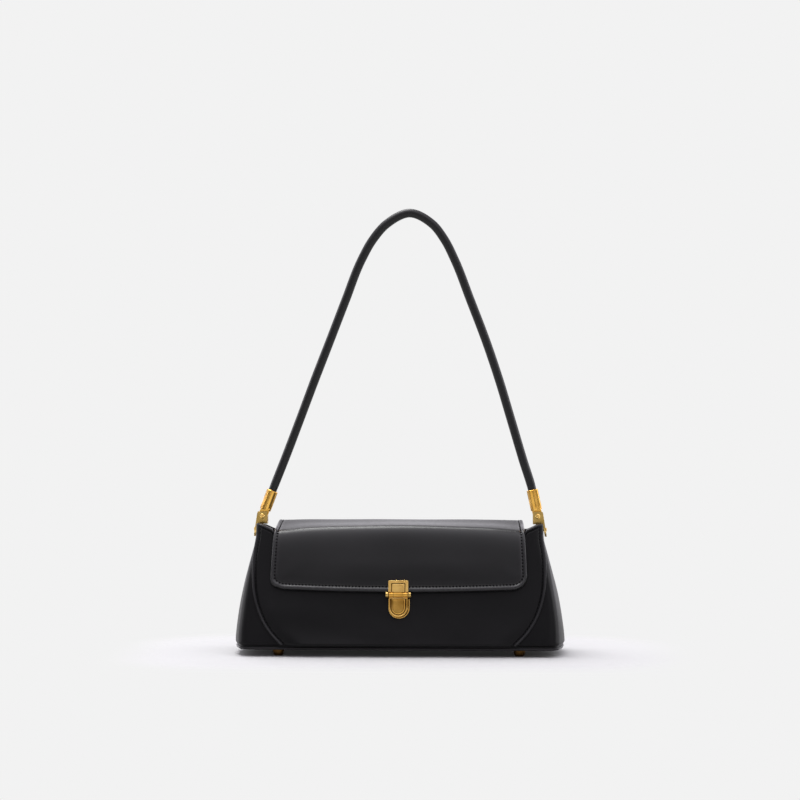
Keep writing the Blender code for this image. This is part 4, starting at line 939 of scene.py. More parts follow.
# Flap: over the mouth and down the front, with a rolled edge and one row of stitches
flap = {
    "halfWidth": 0.1076, "corner": 0.0128, "endLevel": 0.0557, "endBow": 0.0027,
    "standOff": (0.0005, 0.0015), "depth": 0.0027, "rootLevel": 0.1121, "backLevel": 0.1166,
    "drop": 0.0046, "sagAtEnds": 0.0036, "rootRadius": 0.0035, "creaseBack": (0.0080, 0.0100),
    "creaseDown": (0.0200, 0.0340, 0.0500), "dish": 0.0002, "margin": 0.0055, "turnedUnder": 0.0012,
    "endStretch": 0.45, "slack": 0.00018, "padding": 0.0007, "rows": 96, "columns": 72, "steps": 16,
    "backTop": 0.1115, "unrolled": 0.09, "reach": 0.095,
}
flapWidths = [(0.0500, 0.1127), (0.0572, 0.1124), (0.1040, 0.1105), (0.1110, 0.1096), (0.1170, 0.1081)]
flapEdge = {"fall": 0.0017, "fallRadius": 0.0013, "bead": 0.0009, "beadWidth": 0.0030,
            "groove": 0.0038, "grooveWidth": 0.0008, "sink": 0.0004}
flapBorder = [0, 0.0001, 0.00025, 0.00045, 0.0007, 0.0010, 0.0014, 0.0018, 0.0022, 0.0026, 0.0029,
              0.0032, 0.0035, 0.0038, 0.0041, 0.0045, 0.0050, 0.0057, 0.0066, 0.0080, 0.0095, 0.0111,
              0.0128]
clothBorder = [0.0055, 0.0058, 0.0062, 0.0068, 0.0080, 0.0095, 0.0111, 0.0128]


def backFace(x, level):
    # outer face of the back panel, which ends at its top
    return -frontSkin(x, min(level, flap["backTop"]), -shell["proud"]).y


flapBackFace = backFace(0, flap["backTop"])


def tangentCentre(placeA, normalA, placeB, normalB, radius):
    reachA, reachB = placeA.dot(normalA) - radius, placeB.dot(normalB) - radius
    spread = normalA.x * normalB.y - normalA.y * normalB.x
    return Vector(((reachA * normalB.y - reachB * normalA.y) / spread,
                   (reachB * normalA.x - reachA * normalB.x) / spread))


def arcPlaces(centre, radius, start, end, steps):
    return [centre + Vector((radius * math.cos(angle), radius * math.sin(angle)))
            for angle in evenly(start, end, steps)]


@lru_cache(maxsize=None)
def flapPath(step, left):
    # outer face of the flap in a side view (y, z) at a share of its half width, with its lengths
    share = step / flap["steps"]
    x = share * flap["halfWidth"]

    def face(level):
        out = mix(*flap["standOff"], smooth((0.100 - level) / 0.036))
        return frontSkin(x, level, -shell["proud"] - out - flap["depth"]).yz

    topDrop = flap["drop"] + flap["sagAtEnds"] * share ** 2
    topNormal = Vector((-topDrop, 2 * shell["halfDepth"][1])).normalized()
    topPlace = Vector((flapBackFace, flap["backLevel"]))
    backPlace = Vector((flapBackFace, flap["rootLevel"]))
    # the crease is a soft bend that starts on the top and runs out a good way down the front,
    # most on the left
    down = mix(flap["creaseDown"][0], flap["creaseDown"][2 if left else 1], share ** 1.5)
    bendLevel = flap["backLevel"] - topDrop * 1.2 - down
    bendEnd = face(bendLevel)
    rise = (face(bendLevel + 0.001) - face(bendLevel - 0.001)).normalized()
    corner = tangentCentre(bendEnd, Vector((-rise.y, rise.x)), topPlace, topNormal, 0)
    bendStart = corner + Vector((topNormal.y, -topNormal.x)) * mix(*flap["creaseBack"], share ** 1.5)
    rootCentre = tangentCentre(backPlace, Vector((1, 0)), topPlace, topNormal, flap["rootRadius"])
    topTurn = math.atan2(topNormal.y, topNormal.x)
    places = [backPlace] + arcPlaces(rootCentre, flap["rootRadius"], 0, topTurn, 8)
    start = places[-1]
    for k in range(1, 30):
        sag = flap["dish"] * (0.35 + 0.65 * share ** 2) * math.sin(math.pi * k / 30) ** 2
        places.append(start.lerp(bendStart, k / 30) - topNormal * sag)
    hold = (bendStart, bendStart.lerp(corner, 0.5), corner, corner.lerp(bendEnd, 0.3), bendEnd)
    for k in range(49):
        t = k / 48
        shares = [math.comb(4, i) * t ** i * (1 - t) ** (4 - i) for i in range(5)]
        places.append(sum((point * part for point, part in zip(hold, shares)), Vector((0, 0))))
    endLevel = flap["endLevel"] + flap["endBow"] * share ** 2
    places += [face(level) for level in evenly(bendLevel, endLevel, 60)[1:]]
    lengths = [0.0]
    for before, after in zip(places, places[1:]):
        lengths.append(lengths[-1] + (after - before).length)
    return places, lengths


def pathSpot(step, left, end, upper):
    # place and normal at a distance from the flap's end, and a share of the rest of its path
    places, lengths = flapPath(step, left)
    total = lengths[-1]
    along = total - end - (total - flap["corner"]) * upper
    along = min(max(along, 0), total)
    low = min(bisect_right(lengths, along) - 1, len(lengths) - 2)
    high = low + 1
    share = (along - lengths[low]) / (lengths[high] - lengths[low])

    def normalAt(index):
        a, b = places[max(index - 1, 0)], places[min(index + 1, len(places) - 1)]
        run = (b - a).normalized()
        return Vector((run.y, -run.x))

    normal = normalAt(low).lerp(normalAt(high), share).normalized()
    return places[low].lerp(places[high], share), normal


def flapPlace(across, end, upper, height):
    # across is signed, end a distance from the lower edge within its corner, upper a share above it
    half, corner = flap["halfWidth"], flap["corner"]
    side = half - abs(across)
    if side < corner and upper == 0:
        if side <= end:
            ring, turn = side, math.pi / 4 * (corner - end) / (corner - side)
        else:
            ring, turn = end, math.pi / 2 - math.pi / 4 * (corner - side) / (corner - end)
        ring += flap["endStretch"] * ring * (1 - ring / corner) * math.sin(turn) ** 2
        side = corner - (corner - ring) * math.cos(turn)
        end = corner - (corner - ring) * math.sin(turn)
    elif upper == 0:
        end += flap["endStretch"] * end * (1 - end / corner)
    share = (half - side) / half * flap["steps"]
    step = min(int(share), flap["steps"] - 1)
    left = across < 0
    (placeA, normalA), (placeB, normalB) = (pathSpot(k, left, end, upper) for k in (step, step + 1))
    place, normal = placeA.lerp(placeB, share - step), normalA.lerp(normalB, share - step)
    height -= flap["depth"]
    wide = curveThrough(flapWidths, place.y) / half
    x = math.copysign((half - side) * wide, across)
    return Vector((x, place.x + normal.x * height, place.y + normal.y * height))


def flapDistance(across, end, upper):
    side = flap["halfWidth"] - abs(across)
    return min(side, end + flap["reach"] * upper)


def flapGrid(border, heights, clear=0.0):
    # cells of one flap layer; heights gives outer and inner height at a distance from the edge
    half = flap["halfWidth"]
    steps = [step for step in border if step >= clear]
    inner = half - border[-1]
    across = [step - half for step in steps[:-1]] + evenly(-inner, inner, flap["columns"])
    across += [half - step for step in steps[-2::-1]]
    rows = [(step, 0) for step in steps[:-1]]
    rows += [(border[-1], k / flap["rows"] * (1 - clear * 8)) for k in range(flap["rows"] + 1)]
    grid = []
    for end, upper in rows:
        row = []
        for x in across:
            distance = flapDistance(x, end, upper)
            high, low = heights(distance, x, end, upper)
            # painted highlight with wear on the bead, and a painted highlight down the sides in the
            # stitched groove too
            grooved = bell(distance, flapEdge["groove"] + 0.0003, 0.0016) * (1.0 if upper > 0 else 0.5)
            mark = max(bell(distance, 0.0016, 0.0009), 0.8 * grooved)
            row.append((flapPlace(x, end, upper, high), flapPlace(x, end, upper, low), mark,
                        (x, end + upper * flap["unrolled"])))
        grid.append(row)
    return grid


def flapHeights(distance, across, end, upper):
    # the rolled edge flattens out towards the back of the top
    flat = mix(1.0, 0.35, smooth((upper - 0.62) / 0.2))
    high = flap["depth"] + edgeHeight(distance, flapEdge) * flat
    high += smooth((distance - 0.004) / 0.024) * flap["padding"] * flat
    calm = smooth((distance - 0.006) / 0.02)
    high += calm * slack(across, end + upper * flap["unrolled"], 2.0, flap["slack"])
    low = flap["turnedUnder"] * smooth((distance - flap["margin"]) / 0.0012) + 0.0001
    return high, min(low, high - 0.0002)


def flapClothHeights(distance, across, end, upper):
    fall = roundOver(distance - flap["margin"], 0.0006, 0.0003)
    return 0.0011, 0.0002 + fall


def buildFlap():
    piece = shellPiece("flap_leather", flapGrid(flapBorder, flapHeights))
    dress(piece, "flap_body", flapLeather, "flap_leather", "flap")
    grid = flapGrid(clothBorder, flapClothHeights, clear=flap["margin"])
    piece = shellPiece("flap_cloth", grid, marked=False, flat=True)
    dress(piece, "flap_body", liningCloth, "lining_cloth", "flap_lining")


def flapStitchRow():
    # down the left side, round its corner, along the end, round the right corner and up
    row, half, corner = flapEdge["groove"], flap["halfWidth"], flap["corner"]
    steps, inner = evenly(corner, row, 16), evenly(row, corner, 16)[1:]
    spots = [(row - half, corner, 1 - k / 130) for k in range(130)]
    spots += [(row - half, step, 0) for step in steps] + [(step - half, row, 0) for step in inner]
    spots += [(x, row, 0) for x in evenly(corner - half, half - corner, 150)[1:-1]]
    spots += [(half - step, row, 0) for step in inner[::-1]]
    spots += [(half - row, step, 0) for step in steps[::-1]]
    spots += [(half - row, corner, k / 130) for k in range(1, 131)]
    height = flap["depth"] - flapEdge["sink"] + 0.00022
    result = []
    for spot in spots:
        low, high = flapPlace(*spot, height), flapPlace(*spot, height + 0.001)
        result.append((low, (high - low).normalized()))
    return result


buildFlap()
dress(stitchPiece("flap_stitches", [flapStitchRow()]), "flap_body", threadBlack, "flap_leather")
print("flap built")

# Yoke: the flap's leather carried down the back, bending where the flap is hinged
yoke = {"low": 0.0930, "hinge": 0.1118, "high": 0.1150, "halfWidth": 0.1062, "thickness": 0.0007,
        "standOff": 0.00022, "row": 0.0026, "groove": 0.0003, "threadLift": 0.00055}


def buildYoke():
    grid = []
    across = [share * yoke["halfWidth"] for share in evenly(-1, 1, 90)]
    levels = [yoke["low"] + step for step in (0, 0.0002, 0.0005, 0.001, 0.0017, 0.0022, 0.003)]
    levels += evenly(yoke["low"] + 0.003, yoke["hinge"] - 0.0015, 12)[1:]
    levels += evenly(yoke["hinge"] - 0.0015, yoke["high"], 12)[1:]
    for level in levels:
        row = []
        for x in across:
            toEdge = min(level - yoke["low"], yoke["halfWidth"] - abs(x))
            face = backFace(x, level) + yoke["standOff"] * smooth((flap["backTop"] - level) / 0.004)
            thick = yoke["thickness"] - roundOver(toEdge, 0.0006, 0.0005)
            thick -= yoke["groove"] * bell(level - yoke["low"], yoke["row"], 0.0005)
            # the rim mark gives the edges wear and a painted highlight
            row.append((Vector((x, face + thick, level)), Vector((x, face + 0.00002, level)),
                        bell(toEdge, 0, 0.0014)))
        grid.append(row)
    piece = shellPiece("flap_yoke", grid)
    dress(piece, None, flapLeather, "flap_leather")
    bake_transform(piece)
    row = []
    level = yoke["low"] + yoke["row"]
    for share in evenly(-1, 1, 120):
        x = share * (yoke["halfWidth"] - 0.003)
        face = backFace(x, level) + yoke["thickness"] - yoke["groove"] + yoke["threadLift"]
        row.append((Vector((x, face, level)), Vector((0, 1, 0))))
    dress(stitchPiece("yoke_stitches", [row]), "bag_body", threadBlack, "flap_leather")


buildYoke()

# Strap: a rolled leather tube round a cotton core, in two halves that bend at the ferrules
strap = {
    "pivotAcross": 0.1216, "pivotLevel": 0.1200, "rise": 0.2677, "radius": 0.0037, "wall": 0.0010,
    "leans": (math.radians(21), math.radians(12)), "boreFoot": 0.0133, "ferruleTop": 0.0236,
    "around": 28, "steps": 9, "seam": 0.00028, "bendLength": 0.075, "fuller": 0.00015,
    "slack": 0.00004, "coreGap": 0.0003,
}
strapRoute = [
    (-0.841, 0.185), (-0.730, 0.317), (-0.621, 0.449), (-0.508, 0.581), (-0.396, 0.713),
    (-0.281, 0.845), (-0.200, 0.911), (-0.098, 0.964), (0.072, 1.0), (0.234, 0.964),
    (0.325, 0.911), (0.398, 0.845), (0.511, 0.713), (0.622, 0.581), (0.720, 0.449),
    (0.807, 0.317), (0.893, 0.185),
]


def strapLine():
    ends = []
    for hand, lean in zip((-1, 1), strap["leans"]):
        pivot = Vector((hand * strap["pivotAcross"], strap["pivotLevel"]))
        along = Vector((-hand * math.sin(lean), math.cos(lean)))
        ends.append([pivot + along * reach for reach in evenly(strap["boreFoot"], strap["ferruleTop"], 2)])
    points = ends[0] + [
        Vector((strap["pivotAcross"] * x, strap["pivotLevel"] + strap["rise"] * z)) for x, z in strapRoute
    ] + ends[1][::-1]
    chords = [(b - a).length for a, b in zip(points, points[1:])]
    slopes = [(points[1] - points[0]) / chords[0]]
    for i in range(1, len(points) - 1):
        before = (points[i] - points[i - 1]) / chords[i - 1]
        after = (points[i + 1] - points[i]) / chords[i]
        slopes.append(before.lerp(after, chords[i - 1] / (chords[i - 1] + chords[i])))
    slopes.append((points[-1] - points[-2]) / chords[-1])
    line = [points[0]]
    for i, chord in enumerate(chords):
        for k in range(1, strap["steps"] + 1):
            line.append(cubic(points[i], slopes[i] * chord, points[i + 1], slopes[i + 1] * chord,
                              k / strap["steps"]))
    return line


def strapRings(line, start, end, radius, seam):
    rings = []
    for i in range(start, end + 1):
        x, level = line[i]
        along = (line[min(i + 1, len(line) - 1)] - line[max(i - 1, 0)]).normalized()
        # above the ferrule the leather is a little fuller than in its bore
        free = smooth((level - strap["pivotLevel"] - 0.024) / 0.006)
        fuller = free * strap["fuller"] + slack(x, level, 7, strap["slack"]) if seam else 0
        ring = []
        for k in range(strap["around"]):
            angle = 2 * math.pi * k / strap["around"]
            # the closing seam runs down the side away from the camera
            dent = seam * bell(math.remainder(angle - math.pi / 2, 2 * math.pi), 0, 0.16)
            here = radius - dent + fuller
            side = here * math.cos(angle)
            ring.append(Vector((x - along.y * side, here * math.sin(angle), level + along.x * side)))
        rings.append(ring)
    return rings


def buildStrap():
    line = strapLine()
    apex = max(range(len(line)), key=lambda i: line[i].y)
    for hand, name, start, end in ((-1, "left", 0, apex), (1, "right", apex, len(line) - 1)):
        rings = strapRings(line, start, end, strap["radius"], strap["seam"])
        cover = tubePiece(name + "_strap_leather", rings)
        rings = strapRings(line, start, end, strap["radius"] - strap["wall"] - strap["coreGap"], 0)
        core = tubePiece(name + "_strap_cotton", rings)
        dress(cover, None, strapLeather, "strap_leather", "strap_cover")
        dress(core, None, coreCotton, "strap_core", "strap_core")
        for piece in (cover, core):
            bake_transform(piece)


buildStrap()
print("strap built")


# Metal fittings: each starts as a primitive and is shaped in edit mode
def pick(piece):
    bpy.ops.object.select_all(action="DESELECT")
    piece.select_set(True)
    bpy.context.view_layer.objects.active = piece


def named(name):
    # the primitive that was just added, under its name
    piece = bpy.context.object
    piece.name = piece.data.name = name
    bpy.ops.object.transform_apply()
    return piece


def startBlock(name, low, high):
    bpy.ops.object.select_all(action="DESELECT")
    bpy.ops.mesh.primitive_cube_add(size=1)
    piece = named(name)
    size = Vector(high) - Vector(low)
    for vertex in piece.data.vertices:
        vertex.co = Vector(low) + (vertex.co + Vector((0.5, 0.5, 0.5))) * size
    return piece


def startRound(name, radius, low, high, around=64):
    bpy.ops.object.select_all(action="DESELECT")
    bpy.ops.mesh.primitive_cylinder_add(
        vertices=around, radius=radius, depth=high - low, location=(0, 0, (low + high) / 2))
    return named(name)


def choose(piece, kind, test):
    # in edit mode, only what passes the test is selected
    bpy.ops.mesh.select_mode(type=kind)
    bpy.ops.mesh.select_all(action="DESELECT")
    body = bmesh.from_edit_mesh(piece.data)
    items = {"VERT": body.verts, "EDGE": body.edges, "FACE": body.faces}[kind]
    for item in items:
        if test(item):
            item.select_set(True)
    bmesh.update_edit_mesh(piece.data)


def editPiece(piece):
    pick(piece)
    bpy.ops.object.mode_set(mode="EDIT")


def leaveEdit():
    bpy.ops.object.mode_set(mode="OBJECT")


def bevelWhere(piece, test, offset, segments):
    editPiece(piece)
    choose(piece, "EDGE", test)
    bpy.ops.mesh.bevel(offset=offset, segments=segments, affect="EDGES")
    leaveEdit()


def keepsAcross(edge):
    # whether an edge runs front to back or up, and not from left to right
    return abs(edge.verts[0].co.x - edge.verts[1].co.x) < 1e-6


def shadeBy(piece, angle):
    pick(piece)
    bpy.ops.object.shade_smooth_by_angle(angle=math.radians(angle))


def applyModifier(piece, kind, name, **settings):
    pick(piece)
    step = piece.modifiers.new(name, kind)
    for label, value in settings.items():
        setattr(step, label, value)
    bpy.ops.object.modifier_apply(modifier=name)


def joinShape(piece, other, operation="UNION"):
    applyModifier(piece, "BOOLEAN", operation.lower(), operation=operation, solver="EXACT", object=other)
    bpy.data.objects.remove(other, do_unlink=True)


def softenEdges(piece, width, angle=35, segments=3):
    applyModifier(piece, "BEVEL", "soft edges", width=width, segments=segments, limit_method="ANGLE",
                  angle_limit=math.radians(angle), harden_normals=False)
    shadeBy(piece, 40)


def markEdges(piece, recess=None):
    # narrow faces that round an outer edge get polish with a painted highlight, those in an inner edge get
    # patina; a recess value adds painted shade, with patina in grooves
    body = bmesh.new()
    body.from_mesh(piece.data)
    polishAndHighlightMarks, patinaAndShadeMarks = [], []
    for face in body.faces:
        bend = 0.0
        if face.calc_area() / max(edge.calc_length() for edge in face.edges) < 0.0003:
            for edge in face.edges:
                if len(edge.link_faces) == 2:
                    bend = max(bend, edge.calc_face_angle_signed(0), key=abs)
        # a recess value below nothing is a polish with a painted highlight
        stainAndShade = recess(face.calc_center_median(), face.normal) if recess else 0.0
        polishAndHighlightMarks.append(max(smooth((bend - 0.15) / 0.25), -stainAndShade))
        patinaAndShadeMarks.append(max(smooth((-bend - 0.15) / 0.25), stainAndShade))
    body.free()
    for label, values in (("rim", polishAndHighlightMarks), ("patinaAndShade", patinaAndShadeMarks)):
        attribute = piece.data.attributes.new(label, "FLOAT", "FACE")
        attribute.data.foreach_set("value", values)


def seat(piece, place, body, material, *nodes, recess=None):
    # carries a finished fitting to its place, with its place in its mesh
    applyModifier(piece, "WEIGHTED_NORMAL", "even normals", keep_sharp=True)
    markEdges(piece, recess)
    piece.data.transform(place)
    return dress(piece, body, material, "gold_hardware", *nodes)


def frameOn(lowLevel, highLevel):
    low, high = frontSkin(0, lowLevel, -shell["proud"]), frontSkin(0, highLevel, -shell["proud"])
    across, up = Vector((1, 0, 0)), (high - low).normalized()
    turned = Matrix((across, up, across.cross(up))).transposed().to_4x4()
    return Matrix.Translation(frontSkin(0, clasp["pinLevel"], -shell["proud"])) @ turned


clasp = {
    "pinLevel": 0.0530, "pinOut": 0.0036, "width": 0.0173, "knuckle": 0.0024, "middle": 0.0040,
    "leverLength": 0.0194, "leverBack": 0.0019, "leverThickness": 0.0022, "plateHead": 0.0120,
    "plateSeat": 0.0045, "plateThickness": 0.0018, "plateRim": 0.0024, "plateCorner": 0.0010,
    "plateGap": 0.00075, "plateWell": 0.0009, "border": 0.0005, "lockShift": (0.0006, -0.0005),
    "lockPlate": 0.0012, "lockRim": 0.0008, "knob": 0.0024, "knobLength": 0.0021, "soft": 0.00022,
    "leverHalf": 0.00815, "ring": 0.0011, "channel": 0.0011, "step": 0.0010, "line": 0.0005, "sunk": 0.0010,
    "bore": 0.0014, "pin": 0.0011, "stud": (0.0014, 0.0010, 0.0028), "studBelow": 0.0130,
}
lockFrame = frameOn(clasp["pinLevel"] - clasp["leverLength"], clasp["pinLevel"])
plateFrame = frameOn(clasp["pinLevel"], clasp["pinLevel"] + clasp["plateHead"])
pinPlace = lockFrame @ Vector((0, 0, clasp["pinOut"]))
barFrame = Matrix.Translation(pinPlace) @ Matrix.Rotation(math.pi / 2, 4, "Y")
barInPlate = plateFrame.inverted() @ barFrame
barInLock = lockFrame.inverted() @ barFrame


def barPiece(name, start, end, frameMatrix, radius):
    piece = startRound(name, radius, start, end, 48)
    piece.data.transform(frameMatrix)
    return piece


def stepInto(thickness, depth):
    bpy.ops.mesh.inset(thickness=thickness, depth=depth, use_even_offset=True)


def plateBlock(name, low, high, corner, soft):
    # a plate with rounded upper corners and softened edges
    piece = startBlock(name, low, high)
    bevelWhere(piece, lambda e: all(v.co.y > high[1] - 1e-5 for v in e.verts) and keepsAcross(e), corner, 6)
    if soft:
        softenEdges(piece, soft, 40, 3)
    return piece


def buildHasp():
    half, seatOut, thick = clasp["width"] / 2, clasp["plateSeat"], clasp["plateThickness"]
    foot, head, rim = clasp["knuckle"] - 0.0006, clasp["plateHead"], clasp["plateRim"]
    face = seatOut + thick
    piece = plateBlock("hasp", (-half, foot, seatOut), (half, head, face),
                       clasp["plateCorner"], clasp["soft"])
    well = plateBlock("hasp_well", (-half + rim, foot - 0.001, face - clasp["plateWell"]),
                      (half - rim, head - rim, face + 0.001), 0.0007, 0)
    joinShape(piece, well, "DIFFERENCE")
    gap = clasp["plateGap"]
    pad = plateBlock("hasp_pad", (-half + rim + gap, foot + 0.0002, face - 0.0012),
                     (half - rim - gap, head - rim - gap, face - 0.00005), 0.0005, 0.00035)
    joinShape(piece, pad)
    joinShape(piece, barPiece("hasp_barrel", -clasp["middle"] + 0.0001, clasp["middle"] - 0.0001,
                              barInPlate, clasp["knuckle"]))
    neck = startBlock("hasp_neck", (-clasp["middle"] + 0.0001, 0.0012, seatOut + 0.0002),
                      (clasp["middle"] - 0.0001, clasp["knuckle"], seatOut + thick - 0.0003))
    joinShape(piece, neck)
    bore = barPiece("hasp_bore", -0.01, 0.01, barInPlate, clasp["bore"])
    joinShape(piece, bore, "DIFFERENCE")
    shadeBy(piece, 30)

    def recess(centre, normal):
        inside = abs(centre.x) < half - rim + 0.0001 and foot + 0.0004 < centre.y < head - rim + 0.0001
        # the well round the pad is darkened: patina with painted shade
        if inside and seatOut + 0.0002 < centre.z < face - 0.0004:
            return 1.0
        # a painted highlight lightens the pad, and a little painted shade darkens the frame round it
        if inside and abs(centre.x) < half - rim - gap and normal.z > 0.9:
            return -0.55
        # painted shade dims the barrel
        if centre.y < foot + 0.0004:
            return 0.30
        return 0.18 if normal.z > 0.95 and centre.z > face - 0.0001 else 0.0

    seat(piece, plateFrame, "flap_body", goldPlate, "hasp_plate", recess=recess)
    pin = startRound("pin", clasp["pin"], -half - 0.0012, half + 0.0012, 32)
    for hand in (-1, 1):
        start = hand * (half + 0.0001)
        low, high = sorted((start, start + hand * clasp["knobLength"]))
        knob = startRound("knob", clasp["knob"], low, high, 48)
        bevelWhere(knob, lambda e: abs(e.verts[0].co.z - e.verts[1].co.z) < 1e-7, 0.0004, 4)
        joinShape(pin, knob)
    shadeBy(pin, 40)
    seat(pin, barFrame, "flap_body", dullGold, "clasp_pin")


def tongueShape(name, halfWidth, head, foot, low, high):
    # a disc cut in half, its cut edge drawn up to the head, then given its thickness
    bpy.ops.object.select_all(action="DESELECT")
    bpy.ops.mesh.primitive_circle_add(vertices=96, radius=halfWidth, fill_type="NGON",
                                      location=(0, foot + halfWidth, 0))
    piece = named(name)
    editPiece(piece)
    bpy.ops.mesh.select_all(action="SELECT")
    bpy.ops.mesh.bisect(plane_co=(0, foot + halfWidth, 0), plane_no=(0, 1, 0), clear_outer=True)
    choose(piece, "VERT", lambda v: v.co.y > foot + halfWidth - 1e-6)
    body = bmesh.from_edit_mesh(piece.data)
    for vertex in [v for v in body.verts if v.select and abs(v.co.x) < halfWidth - 1e-5]:
        bmesh.ops.dissolve_verts(body, verts=[vertex])
    bmesh.update_edit_mesh(piece.data)
    choose(piece, "EDGE", lambda e: all(v.co.y > foot + halfWidth - 1e-6 for v in e.verts))
    bpy.ops.mesh.extrude_region_move(TRANSFORM_OT_translate={"value": (0, head - foot - halfWidth, 0)})
    choose(piece, "FACE", lambda f: True)
    bpy.ops.mesh.dissolve_faces()
    bpy.ops.mesh.select_all(action="SELECT")
    bpy.ops.transform.translate(value=(0, 0, low))
    bpy.ops.mesh.extrude_region_move(TRANSFORM_OT_translate={"value": (0, 0, high - low)})
    bpy.ops.mesh.select_all(action="SELECT")
    bpy.ops.mesh.normals_make_consistent(inside=False)
    return piece


def fromOutline(centre, half, tip):
    # how far within a tongue's outline a place is
    below = centre.y + tip - half
    return half - (math.hypot(centre.x, below) if below < 0 else abs(centre.x))


def buildLever():
    half, back = clasp["leverHalf"], clasp["leverBack"]
    top = back + clasp["leverThickness"]
    piece = tongueShape("lever", half, -0.0014, -clasp["leverLength"], back, top)
    # a raised ring, a sunk channel, a sloping step and a flat pad
    choose(piece, "FACE", lambda f: f.normal.z > 0.9)
    stepInto(clasp["ring"], 0)
    stepInto(0.0002, -clasp["sunk"])
    stepInto(clasp["channel"] - 0.0002, 0)
    stepInto(0.0002, 0.0004)
    stepInto(clasp["step"] - 0.0002, 0.0003)
    stepInto(clasp["line"], 0)
    leaveEdit()
    softenEdges(piece, 0.00016, 25, 3)
    notch = startBlock("lever_notch", (-clasp["middle"] - 0.0001, -clasp["knuckle"] - 0.0003, 0),
                       (clasp["middle"] + 0.0001, 0.004, 0.02))
    joinShape(piece, notch, "DIFFERENCE")
    for hand in (-1, 1):
        start, end = sorted((hand * (clasp["middle"] + 0.0001), hand * half))
        joinShape(piece, barPiece("lever_barrel", start, end, barInLock, clasp["knuckle"]))
    lip = startBlock("lever_lip", (-half + 0.0010, -0.0036, top - 0.0004),
                     (half - 0.0010, -0.0026, top + 0.0005))
    softenEdges(lip, 0.0003, 35, 3)
    joinShape(piece, lip)
    bore = barPiece("lever_bore", -0.01, 0.01, barInLock, clasp["bore"])
    joinShape(piece, bore, "DIFFERENCE")
    shadeBy(piece, 28)

    def recess(centre, normal):
        # a share of darkening for the ring, the channel, the step, its line and the pad: patina with
        # painted shade in the channel and the line, painted shade on the step and the pad
        inward = fromOutline(centre, half, clasp["leverLength"])
        # painted shade dims the barrels
        if centre.y > -0.0037:
            return 0.25
        if inward < clasp["ring"] or centre.z < back + 0.0004 or normal.z < -0.5:
            return 0.0
        inward -= clasp["ring"] + clasp["channel"]
        if inward < 0.0001 or 0 < inward - clasp["step"] < clasp["line"]:
            return 1.0
        return 0.20 if inward < clasp["step"] else 0.50

    seat(piece, lockFrame, "lever_body", goldPlate, "clasp_lever", recess=recess)


def buildLock():
    half = clasp["width"] / 2 + clasp["border"]
    piece = tongueShape("lock_tongue", half, -0.0028, -clasp["leverLength"] - clasp["border"],
                        0.0002, 0.0002 + clasp["lockPlate"])
    choose(piece, "FACE", lambda f: f.normal.z > 0.9)
    stepInto(clasp["lockRim"], 0)
    stepInto(0.0002, -0.0005)
    leaveEdit()
    softenEdges(piece, 0.0002, 30, 3)

    def recess(centre, normal):
        inward = fromOutline(centre, half, clasp["leverLength"] + clasp["border"])
        # painted shadow of the lever, with patina, darkens the plate within its rim
        return 1.0 if inward > clasp["lockRim"] and normal.z > -0.5 else 0.0

    place = lockFrame @ Matrix.Translation((*clasp["lockShift"], 0))
    seat(piece, place, "bag_body", goldPlate, "lock_plate", recess=recess)
    stud = startRound("stud", *clasp["stud"], 32)
    bevelWhere(stud, lambda e: all(v.co.z > clasp["stud"][2] - 0.0001 for v in e.verts), 0.0004, 4)
    shadeBy(stud, 40)
    place = lockFrame @ Matrix.Translation((0, -clasp["studBelow"], 0))
    seat(stud, place, "bag_body", goldPlate, "catch_stud")


buildHasp()
buildLever()
buildLock()
print("clasp built")


# Turned fittings: half a profile, spun round its axis
def turnedPiece(name, profile, around=64):
    mesh = bpy.data.meshes.new(name)
    mesh.from_pydata([(radius, 0, along) for radius, along in profile],
                     [(k, k + 1) for k in range(len(profile) - 1)], [])
    piece = bpy.data.objects.new(name, mesh)
    bpy.context.scene.collection.objects.link(piece)
    editPiece(piece)
    bpy.ops.mesh.select_all(action="SELECT")
    bpy.ops.mesh.spin(steps=around, angle=2 * math.pi, center=(0, 0, 0), axis=(0, 0, 1))
    bpy.ops.mesh.select_all(action="SELECT")
    bpy.ops.mesh.remove_doubles(threshold=0.000002)
    bpy.ops.mesh.normals_make_consistent(inside=False)
    leaveEdit()
    shadeBy(piece, 40)
    return piece


foot = {"flat": 0.0030, "radius": 0.0052, "dome": 0.0046, "height": 0.0072, "shank": 0.0015,
        "across": 0.105, "depth": 0.029, "groove": 0.0004}


def buildFeet():
    profile = [(0, 0), (foot["flat"] * 0.8, 0), (foot["flat"], 0)]
    profile += [(mix(foot["flat"], foot["radius"], math.sin(angle)), foot["dome"] * (1 - math.cos(angle)))
                for angle in evenly(0, math.pi / 2, 12)[1:]]
    profile += [(foot["radius"], 0.0052), (foot["radius"] - foot["groove"], 0.0055),
                (foot["radius"] - foot["groove"], 0.0059), (foot["radius"], 0.0062),
                (foot["radius"], 0.0069), (foot["radius"] - 0.0003, foot["height"]),
                (foot["shank"], foot["height"]), (foot["shank"], 0.0123), (0, 0.0123)]
    for side, x in (("left", -foot["across"]), ("right", foot["across"])):
        for end, y in (("front", -foot["depth"]), ("back", foot["depth"])):
            piece = turnedPiece(f"{end}_{side}_stud_foot", profile)
            # the feet take the gold darkened as painted shade
            seat(piece, Matrix.Translation((x, y, 0)), "bag_body", shadeDarkenedGold, f"foot_{end}_{side}")


